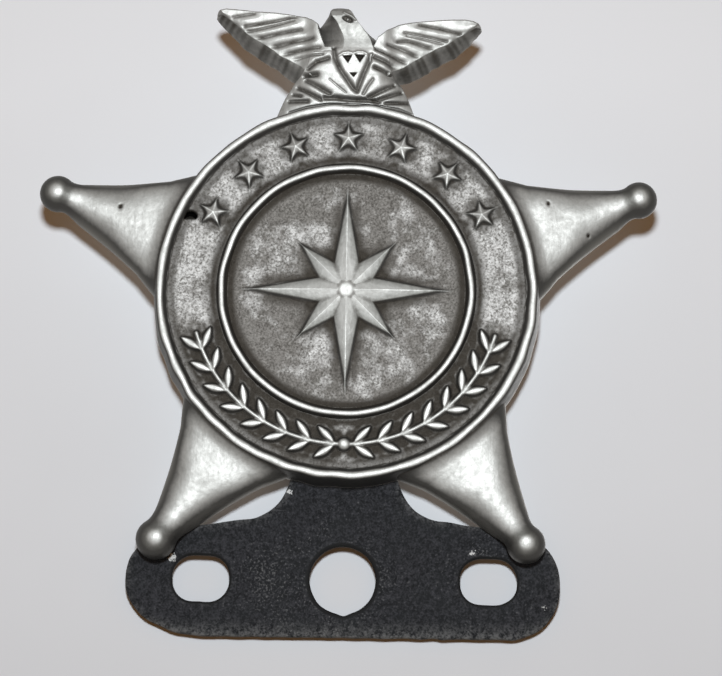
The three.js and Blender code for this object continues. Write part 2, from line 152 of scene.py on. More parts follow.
def makeShell(points, faceSets, paints=None):
    # one closed surface: all its faces are turned round if its volume comes out negative
    volume = 0
    for faces in faceSets:
        for k in range(1, faces.shape[1] - 1):
            a, b, c = points[faces[:, 0]], points[faces[:, k]], points[faces[:, k + 1]]
            volume += np.einsum("ij,ij->", a, np.cross(b, c))
    if volume < 0:
        faceSets = [faces[:, ::-1] for faces in faceSets]
    return dict(points=points, faceSets=faceSets, paints=paints or {})


def ringShell(points, rowCount, columnCount, paints=None):
    # closed surface from a grid that joins up both ways
    return makeShell(points, [gridFaces(rowCount, columnCount, wrapRows=True, wrapColumns=True)], paints)


def tubeShell(points, rowCount, columnCount, paints=None):
    # closed surface from a grid whose columns run round a section, with a point at each end
    ends = [points[:columnCount].mean(axis=0), points[-columnCount:].mean(axis=0)]
    total = rowCount * columnCount
    first = np.arange(columnCount)
    faceSets = [
        gridFaces(rowCount, columnCount, wrapColumns=True),
        fanFaces(first, total, False),
        fanFaces(first + total - columnCount, total + 1, True),
    ]
    closedPaints = {}
    for key, paint in (paints or {}).items():
        closedPaints[key] = np.r_[paint.ravel(), paint.ravel()[:1], paint.ravel()[-1:]]
    return makeShell(np.vstack([points, ends]), faceSets, closedPaints)


def addPiece(name, shells, material, node, creaseAngle=None, flankShadeShare=1.0, flatBack=False):
    # joins closed surfaces into one mesh object with its paint attributes, and hands it to the frame
    offsets = np.cumsum([0] + [len(shell["points"]) for shell in shells])
    points = np.vstack([shell["points"] for shell in shells])
    faces = [faceSet + offset for shell, offset in zip(shells, offsets) for faceSet in shell["faceSets"]]
    corners = np.concatenate([faceSet.ravel() for faceSet in faces])
    sizes = np.concatenate([np.full(len(faceSet), faceSet.shape[1]) for faceSet in faces])
    mesh = bpy.data.meshes.new(name)
    mesh.vertices.add(len(points))
    mesh.vertices.foreach_set("co", points.ravel())
    mesh.loops.add(len(corners))
    mesh.loops.foreach_set("vertex_index", corners)
    mesh.polygons.add(len(sizes))
    mesh.polygons.foreach_set("loop_start", np.r_[0, np.cumsum(sizes)[:-1]])
    mesh.update(calc_edges=True)
    faceNormals = np.empty(len(sizes) * 3, dtype=np.float32)
    mesh.polygons.foreach_get("normal", faceNormals)
    flatFaces = flatBack & (faceNormals.reshape(-1, 3)[:, 1] >= 0.9995)
    mesh.polygons.foreach_set("use_smooth", ~flatFaces)
    if creaseAngle is not None:
        mesh.set_sharp_from_angle(angle=np.radians(creaseAngle))
    normals = np.empty(len(points) * 3, dtype=np.float32)
    mesh.vertex_normals.foreach_get("vector", normals)
    facing = -normals.reshape(-1, 3)[:, 1]
    # painted shade for the sides: 1 on sides, fading out on surfaces that face the front or the back
    paints = dict(flankShade=flankShadeShare * smoothStep((0.985 - facing) / 0.3) * smoothStep((facing + 0.35) / 0.3))
    for key in sorted({key for shell in shells for key in shell["paints"]}):
        paints[key] = np.concatenate([
            np.broadcast_to(shell["paints"].get(key, 0.0), len(shell["points"])) for shell in shells
        ])
    for key, paint in paints.items():
        attribute = mesh.attributes.new(key, "FLOAT", "POINT")
        attribute.data.foreach_set("value", np.asarray(paint, dtype=np.float32))
    mesh.materials.append(material)
    piece = bpy.data.objects.new(name, mesh)
    bpy.context.scene.collection.objects.link(piece)
    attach(piece, "root")
    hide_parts(node)
    print(name, "made,", int((sizes - 2).sum()), "triangles")
    return piece


# Materials are node trees; a small helper adds a node and sets its inputs

def addNode(tree, kind, inputs=None, **settings):
    node = tree.nodes.new(kind)
    for key, value in settings.items():
        setattr(node, key, value)
    for key, value in (inputs or {}).items():
        if isinstance(value, bpy.types.NodeSocket):
            tree.links.new(value, node.inputs[key])
        else:
            node.inputs[key].default_value = value
    return node


def newMaterial(name):
    material = bpy.data.materials.new(name)
    material.use_nodes = True
    tree = material.node_tree
    return material, tree, tree.nodes["Principled BSDF"]


def colour(red, green, blue):
    # an sRGB colour as read off a picture, 0 to 255, in the linear values that a shader takes
    srgb = np.array([red, green, blue]) / 255
    linear = np.where(srgb <= 0.04045, srgb / 12.92, ((srgb + 0.055) / 1.055) ** 2.4)
    return (*linear.tolist(), 1.0)


def objectNoise(tree, size, detail=3.0, roughness=0.55, distortion=0.0, stretch=None, turn=0):
    # noise whose blotches are about size millimetres across, or drawn out where stretch is below 1
    place = addNode(tree, "ShaderNodeTexCoord").outputs["Object"]
    if stretch:
        turned = {"Vector": place, "Rotation": (0, np.radians(turn), 0), "Scale": stretch}
        place = addNode(tree, "ShaderNodeMapping", turned).outputs["Vector"]
    return addNode(tree, "ShaderNodeTexNoise", {
        "Vector": place, "Scale": 1 / (size * millimetre), "Detail": detail,
        "Roughness": roughness, "Distortion": distortion,
    }).outputs["Fac"]


def paintValue(tree, key):
    return addNode(tree, "ShaderNodeAttribute", attribute_name=key).outputs["Fac"]


def ranged(tree, value, low, high, toLow=0.0, toHigh=1.0):
    return addNode(tree, "ShaderNodeMapRange", {
        "Value": value, "From Min": low, "From Max": high, "To Min": toLow, "To Max": toHigh,
    }).outputs["Result"]


def noiseRange(tree, noise, low, high):
    # the middle of a noise's range, where nearly all of it lies, spread from low to high
    return ranged(tree, noise, 0.3, 0.7, low, high)


def mathNode(tree, operation, first, second):
    return addNode(tree, "ShaderNodeMath", {0: first, 1: second}, operation=operation).outputs[0]


def added(tree, *values):
    total = values[0]
    for value in values[1:]:
        total = mathNode(tree, "ADD", total, value)
    return total


def mixColour(tree, share, first, second):
    # sockets 6, 7 and output 2 are the Mix node's colours
    return addNode(tree, "ShaderNodeMix", {0: share, 6: first, 7: second}, data_type="RGBA").outputs[2]


def layer(tree, under, tint, value, low, high, most=1.0):
    # a tint that comes in over a colour as a value goes from low to high, up to a share
    return mixColour(tree, ranged(tree, value, low, high, 0, most), under, tint)


def setBump(tree, shader, height, strength, depth):
    settings = {"Height": height, "Strength": strength, "Distance": depth * millimetre}
    tree.links.new(addNode(tree, "ShaderNodeBump", settings).outputs["Normal"], shader.inputs["Normal"])


def castMetalMaterial():
    metal = dict(
        top=colour(171, 168, 163), dull=colour(148, 145, 140), greyed=colour(106, 104, 99),
        sandPale=colour(188, 184, 180), sandDeep=colour(104, 100, 95),
        calmPale=colour(124, 119, 114), calmDeep=colour(80, 76, 71),
        shadedFlank=colour(76, 74, 71), foot=colour(118, 115, 109), hollow=colour(66, 61, 55),
        pit=colour(10, 9, 8), topRoughness=0.5, groundRoughness=0.6, bump=0.8, bumpDepth=0.22,
    )
    material, tree, shader = newMaterial("satin_cast_metal")
    keys = ("hollow", "flankShade", "ground", "sandy", "foot", "polish", "dull")
    hollow, flankShade, ground, sandy, foot, polish, dull = (paintValue(tree, key) for key in keys)
    blotch = objectNoise(tree, 9, detail=4)
    streak = objectNoise(tree, 1.6, detail=5, distortion=0.6)
    grain = objectNoise(tree, 0.35, detail=4, roughness=0.6)
    sand = objectNoise(tree, 0.5, detail=3, roughness=0.6, distortion=0.3)
    mottle = objectNoise(tree, 2.2, detail=5, roughness=0.65, distortion=0.9)
    wavy = objectNoise(tree, 2.6, detail=2)
    patch = objectNoise(tree, 5.5, detail=4, roughness=0.6)
    brush = objectNoise(tree, 0.6, detail=3, stretch=(1, 1, 0.12))

    # raised and plain metal, brushed, and greyed by the dull paint: tarnish, and painted shade on sides,
    # backs and edges
    top = layer(tree, metal["top"], metal["dull"], blotch, 0.42, 0.72, 0.5)
    top = layer(tree, top, metal["dull"], brush, 0.42, 0.7, 0.4)
    top = layer(tree, top, metal["dull"], grain, 0.5, 0.72, 0.3)
    top = layer(tree, top, metal["greyed"], added(tree, dull, noiseRange(tree, streak, -0.1, 0.1)), 0.05, 1)
    # ground: sanded patches between calmer, darker ones
    grit = added(tree, sand, noiseRange(tree, mottle, -0.13, 0.13))
    sanded = layer(tree, metal["sandDeep"], metal["sandPale"], grit, 0.33, 0.64)
    calm = layer(tree, metal["calmDeep"], metal["calmPale"], grit, 0.33, 0.67)
    sandShare = added(tree, patch, ranged(tree, sandy, 0, 1, -0.13, 0.1))
    floor = mixColour(tree, ranged(tree, sandShare, 0.42, 0.6), calm, sanded)
    base = mixColour(tree, ground, top, floor)
    # painted shade on sides, lighter at their foot as a painted reflection, then dirt and patina with painted
    # shade in hollows, and painted black shade in pits
    shadedFlank = mixColour(tree, foot, metal["shadedFlank"], metal["foot"])
    base = layer(tree, base, shadedFlank, added(tree, flankShade, noiseRange(tree, streak, -0.07, 0.07)), 0.05, 0.95)
    mottledGrimeAndShade = added(tree, hollow, noiseRange(tree, sand, -0.12, 0.12))
    base = layer(tree, base, metal["hollow"], mottledGrimeAndShade, 0.1, 1)
    # painted black shade in pits and under the blowhole's arch
    base = layer(tree, base, metal["pit"], hollow, 1.1, 1.7)
    tree.links.new(base, shader.inputs["Base Color"])
    shader.inputs["Metallic"].default_value = 1.0

    rough = added(
        tree, ranged(tree, ground, 0, 1, metal["topRoughness"], metal["groundRoughness"]),
        noiseRange(tree, streak, -0.03, 0.05), ranged(tree, hollow, 0, 1, 0, 0.1),
        noiseRange(tree, mottle, -0.04, 0.06), ranged(tree, polish, 0, 1, 0, -0.08),
    )
    tree.links.new(rough, shader.inputs["Roughness"])

    height = mathNode(tree, "MULTIPLY", sand, ranged(tree, ground, 0, 1, 0.05, 1.0))
    for noise, weight in ((grain, 0.08), (brush, 0.08), (wavy, 0.6)):
        height = added(tree, height, mathNode(tree, "MULTIPLY", noise, weight))
    setBump(tree, shader, height, metal["bump"], metal["bumpDepth"])
    return material


def blackPaintMaterial():
    paint = dict(
        base=colour(8, 8, 10), pale=colour(66, 66, 70), fleck=colour(116, 116, 115),
        chip=colour(210, 210, 208), bareSteel=colour(46, 52, 52), rolled=colour(14, 13, 13),
        scratch=colour(74, 74, 77), roughness=0.7, gloss=0.2, bump=0.7, bumpDepth=0.14,
        chips=[
            (-37.9, 4.6, 0.8), (-12.1, 19.4, 0.55), (-40.5, 7.4, 0.4), (28.6, 6.3, 0.5), (44.4, -5.4, 0.4),
        ],
        chipEdge=0.15, chipRagged=0.6,
    )
    material, tree, shader = newMaterial("black_paint_on_steel")
    worn, edge, speckled, rolled = (paintValue(tree, key) for key in ("worn", "edge", "speckled", "rolled"))
    blotch = objectNoise(tree, 9, detail=5)
    grain = objectNoise(tree, 0.5, detail=5, roughness=0.7)
    fine = objectNoise(tree, 0.5, detail=4, roughness=0.6)
    region = objectNoise(tree, 7, detail=4)
    cloudy = objectNoise(tree, 1.5, detail=4, roughness=0.6)
    rubbed = objectNoise(tree, 0.5, detail=2, stretch=(0.07, 1, 1), turn=24)

    # faded mottling, pale specks, long scratches and rubbed edges
    faded = added(
        tree, noiseRange(tree, blotch, 0.1, 0.4), noiseRange(tree, cloudy, -0.3, 0.3),
        ranged(tree, grain, 0.35, 0.65, -0.4, 0.4),
    )
    body = layer(tree, paint["base"], paint["pale"], faded, 0, 1)
    density = ranged(tree, region, 0.35, 0.65, -0.05, 0.05)
    density = added(tree, density, ranged(tree, speckled, 0, 1, 0, 0.12))
    body = layer(tree, body, paint["fleck"], added(tree, fine, density), 0.66, 0.82, 0.8)
    body = layer(tree, body, paint["scratch"], rubbed, 0.7, 0.76, 0.45)
    wornEdge = mathNode(tree, "MULTIPLY", worn, ranged(tree, added(tree, grain, cloudy), 0.85, 1.15))
    body = mixColour(tree, wornEdge, body, paint["fleck"])
    body = mixColour(tree, edge, body, paint["bareSteel"])
    # painted shade: the punched edges' rolls are painted near black
    body = mixColour(tree, rolled, body, paint["rolled"])
    # chips down to bright metal, each a ragged round spot
    place = addNode(tree, "ShaderNodeTexCoord").outputs["Object"]
    ragged = noiseRange(tree, fine, -paint["chipRagged"] * millimetre, paint["chipRagged"] * millimetre)
    for chipX, chipY, size in paint["chips"]:
        centre = tuple(toFrame(chipX, chipY, backPlane)[0])
        spot = addNode(tree, "ShaderNodeVectorMath", {0: place, 1: centre}, operation="DISTANCE")
        spread = added(tree, spot.outputs["Value"], ragged)
        inner = (size - paint["chipEdge"]) * millimetre
        body = layer(tree, body, paint["chip"], spread, size * millimetre, inner)
    tree.links.new(body, shader.inputs["Base Color"])
    rough = noiseRange(tree, blotch, paint["roughness"] - 0.06, paint["roughness"] + 0.1)
    tree.links.new(rough, shader.inputs["Roughness"])
    shader.inputs["Specular IOR Level"].default_value = paint["gloss"]
    setBump(tree, shader, grain, paint["bump"], paint["bumpDepth"])
    return material


def screwSteelMaterial():
    steel = dict(
        bright=colour(190, 190, 188), dull=colour(140, 136, 130), dirtAndShade=colour(84, 76, 66),
        roughness=0.34, bump=0.3, bumpDepth=0.05,
    )
    material, tree, shader = newMaterial("zinc_plated_steel")
    blotch = objectNoise(tree, 3, detail=4)
    grain = objectNoise(tree, 0.3, detail=4)
    base = layer(tree, steel["bright"], steel["dull"], blotch, 0.4, 0.7)
    # darker in the slot: dirt and painted shade
    base = layer(tree, base, steel["dirtAndShade"], paintValue(tree, "hollow"), 0.1, 1, 0.8)
    tree.links.new(base, shader.inputs["Base Color"])
    shader.inputs["Metallic"].default_value = 1.0
    rough = noiseRange(tree, grain, steel["roughness"] - 0.05, steel["roughness"] + 0.12)
    tree.links.new(rough, shader.inputs["Roughness"])
    setBump(tree, shader, grain, steel["bump"], steel["bumpDepth"])
    return material


castMetal = castMetalMaterial()
blackPaint = blackPaintMaterial()
screwSteel = screwSteelMaterial()
print("materials made")


def addCasting(name, shells, creaseAngle=None, flankShadeShare=1.0):
    addPiece(name, shells, castMetal, "star_casting", creaseAngle, flankShadeShare, flatBack=True)


# Raised figures: a faceted star, a leaf, and the two sets that use them

def starHeight(x, y, star):
    # Height of a faceted star about the origin with a point along x. The angle is folded into
    # half a point, where the outline is one straight line. Height falls from proud at the middle
    # to land on that line, and steps down smoothly across the edge.
    sector = np.pi / star["points"]
    radius = np.hypot(x, y)
    angle = np.abs((np.arctan2(y, x) + sector) % (2 * sector) - sector)
    notch = star["waist"] * np.array([np.cos(sector), np.sin(sector)])
    along = notch - [star["outer"], 0]
    normal = np.array([along[1], -along[0]]) / np.hypot(*along)
    reach = star["outer"] * normal[0]
    level = radius * (np.cos(angle) * normal[0] + np.sin(angle) * normal[1])
    facet = star["land"] + (star["proud"] - star["land"]) * np.clip(1 - level / reach, 0, 1)
    return facet * smoothStep(0.5 - (level - reach) / star["edge"])


def leafHeight(x, y, leaf):
    # Height of a pointed leaf about the origin along x: half width = half the width times a power
    # of the cosine of the place along it, roof-shaped across, with a groove along the middle
    half = leaf["length"] / 2
    width = leaf["width"] / 2 * np.cos(np.pi / 2 * np.clip(x / half, -1, 1)) ** 0.75
    beyond = np.maximum(np.abs(x) - half, 0)
    outside = np.hypot(np.maximum(np.abs(y) - width, 0), beyond)
    inside = np.minimum(width - np.abs(y), 0.8)
    level = np.where(outside > 0, outside, -np.maximum(inside, 0))
    share = np.clip(1 - np.abs(y) / np.maximum(width, 1e-6), 0, 1) ** 0.8
    roof = leaf["land"] + (leaf["proud"] - leaf["land"]) * share
    vein = leaf["vein"] * bell(y, leaf["veinWidth"])
    return (roof - vein) * smoothStep(0.45 - level / leaf["edge"])


ornament = dict(
    bandRadius=34.6, starFirst=30, starStep=20, starCount=7,
    star=dict(points=5, outer=3.7, waist=1.7, proud=1.35, land=0.6, edge=0.75),
    leaf=dict(length=5.7, width=2.35, proud=1.25, land=0.6, edge=0.7, vein=0.22, veinWidth=0.16),
    leafFirst=277, leafStep=9, leafPairs=8, leafLean=38, leafOffset=1.9,
    stemHalf=0.75, stemProud=0.85, stemTo=343, knotRadius=1.75, knotProud=1.2,
)


def bandRelief(x, y):
    # the band's raised figures: stars over the top, two laurel branches from a knot at the bottom
    middle = ornament["bandRadius"]
    angle = np.degrees(np.arctan2(y, x)) % 360
    order = np.round((angle - ornament["starFirst"]) / ornament["starStep"])
    order = np.clip(order, 0, ornament["starCount"] - 1)
    turn = np.radians(ornament["starFirst"] + ornament["starStep"] * order)
    outward = x * np.cos(turn) + y * np.sin(turn) - middle
    height = starHeight(outward, -x * np.sin(turn) + y * np.cos(turn), ornament["star"])

    side = np.abs(x)
    climbing = np.degrees(np.arctan2(y, side)) % 360
    nearest = np.round((climbing - ornament["leafFirst"]) / ornament["leafStep"])
    for neighbour in (-1, 0, 1):
        pair = np.clip(nearest + neighbour, 0, ornament["leafPairs"] - 1)
        climb = np.radians(ornament["leafFirst"] + ornament["leafStep"] * pair)
        for edge in (1, -1):
            reach = middle + edge * ornament["leafOffset"]
            heading = climb + np.pi / 2 - edge * np.radians(ornament["leafLean"])
            offX = side - reach * np.cos(climb)
            offY = y - reach * np.sin(climb)
            along = offX * np.cos(heading) + offY * np.sin(heading)
            across = -offX * np.sin(heading) + offY * np.cos(heading)
            height = np.maximum(height, leafHeight(along, across, ornament["leaf"]))
    past = np.maximum(climbing - ornament["stemTo"], 0) * np.radians(1) * middle
    past = past + np.where(climbing > 180, 0, middle)  # no stem over the top half
    offStem = np.hypot(np.hypot(x, y) - middle, past) / ornament["stemHalf"]
    stem = ornament["stemProud"] * np.sqrt(np.clip(1 - offStem ** 2, 0, 1))
    offKnot = np.hypot(x, y + middle) / ornament["knotRadius"]
    knot = ornament["knotProud"] * np.clip(1 - offKnot ** 2.6, 0, 1) ** 0.6
    return np.maximum(np.maximum(height, stem), knot)


compass = dict(
    long=dict(points=4, outer=22.5, waist=4.9, proud=1.6, land=0.55, edge=0.8),
    short=dict(points=4, outer=15, waist=4.9, proud=1.5, land=0.5, edge=0.8),
    bossRadius=2.6, bossProud=1.7,
)


def centreRelief(x, y):
    # the centre's compass star: four long points upright, four short ones between, and a boss
    height = starHeight(x, y, compass["long"])
    turned = np.sqrt(0.5)
    height = np.maximum(height, starHeight((x + y) * turned, (y - x) * turned, compass["short"]))
    offBoss = np.hypot(x, y) / compass["bossRadius"]
    return np.maximum(height, compass["bossProud"] * np.clip(1 - offBoss ** 4, 0, 1) ** 0.5)


shade = dict(nearRings=(0.45, 1.0), nearReach=1.1, nearDepth=0.36, farReach=2.4, farDepth=0.45, turns=8)


def hollowness(relief, x, y):
    # 1 in a corner that raised metal overlooks, used for painted shade and dirt: mean height on circles
    # round the point less the height there, as a share of a depth, for a near pair and, weaker, a far one
    here = relief(x, y)
    near, far = np.zeros_like(here), np.zeros_like(here)
    for angle in np.arange(shade["turns"]) * 2 * np.pi / shade["turns"]:
        for ring in shade["nearRings"]:
            reach = ring * shade["nearReach"]
            near += relief(x + reach * np.cos(angle + ring), y + reach * np.sin(angle + ring)) - here
        far += relief(x + shade["farReach"] * np.cos(angle), y + shade["farReach"] * np.sin(angle)) - here
    near = near / (2 * shade["turns"] * shade["nearDepth"])
    far = far / (shade["turns"] * shade["farDepth"])
    return np.clip(np.maximum(near, far), 0, 1)


def tarnish(relief, proud):
    # greyer towards the foot of a raised figure, bare along its ridges
    return 0.85 * smoothStep((0.8 * proud - relief) / (0.5 * proud)) * smoothStep(relief / 0.3)


disc = dict(
    segments=900, bandStep=0.24, plainStride=4, bandGround=6.6, rimHeight=8.0, rimFoot=39.8, rimInner=40.8,
    rimOuter=42.3, rimRound=0.66, wallTop=(42.64, 6.7), skirtRadius=43.5, cavityMouth=40.2, cavityEnd=39.6,
    cavityRoof=4.5, lap=28.0, ringShade=32.4, backShade=0.6,
    centreSegments=560, centreStep=0.28, underStride=12, centreGround=6.5, centreEdge=26.55,
    ringHeight=7.92, ringMiddle=27.8,
    blowhole=dict(x=-35.2, y=16.5, wide=1.6, tall=1.25, deep=1.6),
)


def discTop(radius):
    # height of the disc's plain face at a radius: rim, band ground, ring and centre ground
    radii = [0, 26.6, 27.25, 27.6, 28.0, 28.4, 29.05, 29.1, 39.8, 40.6, 41.05, 41.9, 42.4, 43.2]
    heights = [6.5, 6.5, 7.6, 7.9, 7.9, 7.6, 6.6, 6.6, 6.6, 7.6, 8, 8, 7.2, 2]
    return np.interp(radius, radii, heights)


def bandShell():
    # Turned band, rim, wall and hollow back: the closed profile goes once round the disc's centre,
    # and the raised figures add to the height of the band's ground
    corners = [
        (disc["lap"], disc["cavityRoof"], 0), (disc["lap"], disc["bandGround"], 0),
        (disc["rimFoot"], disc["bandGround"], 0.4), (disc["rimInner"], disc["rimHeight"], disc["rimRound"]),
        (disc["rimOuter"], disc["rimHeight"], disc["rimRound"]), (*disc["wallTop"], 0.5),
        (disc["skirtRadius"], 0, 0.3), (disc["cavityMouth"], 0, 0.4),
        (disc["cavityEnd"], disc["cavityRoof"], 0.9),
    ]
    profile = roundedPath(corners, disc["bandStep"])
    # wide steps where the surface is plain
    profile = profile[(profile[:, 1] > 6.3) | (np.arange(len(profile)) % disc["plainStride"] == 0)]
    plainRadius, plainHeight = profile[None, :, 0], profile[None, :, 1]
    turn = fullTurn(disc["segments"])[:, None]
    x, y = plainRadius * np.cos(turn), plainRadius * np.sin(turn)
    onGround = ((plainHeight > 6.4) & (plainRadius > 28.4) & (plainRadius < 40.0)).astype(float)
    relief = bandRelief(x, y) * onGround
    low = smoothStep(1 - relief / 0.5) * onGround

    # waviness of the casting, then the blowhole, which an arch of metal overhangs
    radius = plainRadius + 0.12 * unevenness(x, y, 9, 4) * smoothStep((plainRadius - 39) / 2)
    height = plainHeight + relief * (1 + 0.03 * unevenness(x, y, 6, 7))
    height = height + (0.05 * unevenness(x, y, 3.5, 1) + 0.03 * unevenness(x, y, 1.2, 2)) * low
    height = height + 0.06 * unevenness(x, y, 10, 3) * (height > 7)
    hole = disc["blowhole"]
    upward = (y - hole["y"]) / hole["tall"]
    fromHole = np.hypot((x - hole["x"]) / hole["wide"], upward)
    sunk = smoothStep((1.15 - fromHole) / 0.4) * smoothStep((upward + 0.75) / 1.1) * onGround
    height = height - hole["deep"] * sunk
    # painted shadow: the blowhole under its arch is painted black
    arch = smoothStep((1.1 - fromHole) / 0.25) * smoothStep((fromHole + 0.9 * upward - 0.25) / 0.3) * onGround

    def whole(px, py):
        return discTop(np.hypot(px, py)) + bandRelief(px, py)

    # painted shade with dirt in corners, less of it against the rim and more against the ring
    front = plainHeight > 5.5
    hollow = np.maximum(hollowness(whole, x, y) * front, 2.3 * arch)
    outward = smoothStep((radius - 38) / 1.4) * (radius < 41)
    hollow = np.where(hollow <= 1, hollow * (1 - 0.4 * outward), hollow)
    hollow = np.maximum(hollow, 0.8 * smoothStep((disc["ringShade"] - radius) / 3.3) * low * front)
    # painted shade greys the rim's inner slope and the back, and tarnish greys the raised figures
    dull = 0.5 * smoothStep((41.25 - radius) / 0.9) * (height > 6.8) * (radius > 39.5)
    dull = dull + tarnish(relief, 1.35) * onGround + disc["backShade"] * (plainHeight < 5.6) * (radius < 41)
    x, y = radius * np.cos(turn), radius * np.sin(turn)
    paints = dict(hollow=hollow.ravel(), ground=low.ravel(), sandy=low.ravel(), dull=dull.ravel())
    return ringShell(onCasting(x, y, height), *x.shape, paints)


def centreShell():
    # Turned centre with the ring round it: the profile runs out over the face to under the band's
    # ground and back along the underside, closed by a point at each end
    ground, ringTop = disc["centreGround"], disc["ringHeight"]
    corners = [
        (0.12, ground, 0), (disc["centreEdge"], ground, 0.35), (27.22, ringTop, 0.5), (28.38, ringTop, 0.5),
        (29.04, 6.42, 0.25), (28.6, 4.9, 0.1), (28.3, 4.53, 0), (0.3, 4.5, 0),
    ]
    face = roundedPath(corners, disc["centreStep"], closed=False)
    skipped = np.arange(len(face)) % disc["underStride"] > 0
    profile = face[~((face[:, 1] < 4.6) & skipped & (face[:, 0] < 27))]
    plainRadius, plainHeight = profile[:, :1], profile[:, 1:]
    turn = fullTurn(disc["centreSegments"])
    x, y = plainRadius * np.cos(turn), plainRadius * np.sin(turn)
    onGround = ((plainHeight > 6.4) & (plainRadius < 26.4)).astype(float)
    relief = centreRelief(x, y) * onGround
    ringed = (plainHeight > 7) * np.ones_like(x)
    low = smoothStep(1 - relief / 0.5) * onGround
    height = plainHeight + relief * (1 + 0.02 * unevenness(x, y, 9, 8))
    height = height + (0.07 * unevenness(x, y, 6, 11) + 0.02 * unevenness(x, y, 1.4, 12)) * low
    height = height + 0.05 * unevenness(x, y, 9, 13) * ringed
    radius = plainRadius + 0.08 * unevenness(x, y, 8, 14) * ringed

    def whole(px, py):
        return discTop(np.hypot(px, py)) + centreRelief(px, py)

    # painted shade with dirt in corners
    hollow = hollowness(whole, x, y) * (plainHeight > 5.5)
    # the open ground between the star's points is sanded
    sandy = smoothStep((24.5 - radius) / 3) * smoothStep((np.hypot(x, y) - 4) / 3) * (1 - hollow)
    sandy = 0.4 * sandy * (centreRelief(0.94 * x, 0.94 * y) < 0.1) * low
    # painted shade greys the ring's slopes and the back, and tarnish greys the star
    dull = 0.5 * smoothStep((np.abs(radius - disc["ringMiddle"]) - 0.3) / 0.4) * (height > 6.9) * ringed
    dull = dull + tarnish(relief, compass["long"]["proud"]) * onGround
    dull = dull + disc["backShade"] * (plainHeight < 5.6)
    x, y = radius * np.cos(turn), radius * np.sin(turn)
    paints = dict(hollow=hollow, ground=low, sandy=sandy, dull=dull)
    return tubeShell(onCasting(x, y, height), *x.shape, paints)


boss = dict(
    rises=[-30, -15], segments=96, step=0.35,
    profile=[
        (6.2, 4.75, 0), (6.2, 4.4, 0), (5.35, 3.9, 0.5), (5.2, 0, 0.25), (2.75, 0, 0.2), (2.6, 0.4, 0.1),
        (2.6, 4.3, 0.2), (0.1, 4.35, 0), (0.1, 4.75, 0),
    ],
)


def bossShell(y):
    # tapped boss on the hollow's roof: a turned wall with a fillet where it meets the roof
    profile = roundedPath(boss["profile"], boss["step"], closed=False)
    turn = fullTurn(boss["segments"])
    radius, height = profile[:, :1], profile[:, 1:]
    x = radius * np.cos(turn)
    return tubeShell(onCasting(x, y + radius * np.sin(turn), height + 0 * x), *x.shape)


addCasting("casting_band", [bandShell()])
addCasting("casting_centre", [centreShell()] + [bossShell(rise) for rise in boss["rises"]])


point = dict(
    angles=[161.4, 18.5, 233.5, 305.8], ballReach=[68.9, 68.9, 69.2, 68.8], ballRadius=[4.1, 4.1, 4.5, 4.3],
    ballSeat=3.3, rows=120, tipRows=30, tipStart=2.9, columns=112, rootReach=38.6, rootEnd=46, rimRadius=41.5,
    wallRadius=42.2, rootHalf=13.7, rootHeight=6.5, neckHalf=4.2, neckReach=64.5, neckHeight=5.9, flare=1.8,
    land=0.7, neckBegin=62.0, neckEnd=1.6, neckTurn=5.2, rootPower=3.2, neckPower=2.15, ballPower=2,
    lowPower=5, filletFrom=42.2, filletRise=1.15, filletReach=3.4, filletPower=2.2,
    pits=[(-50.9, 18.7, 0.42), (44.9, 20.4, 0.36), (53.9, 13.2, 0.3)], pitDepth=0.4,
)


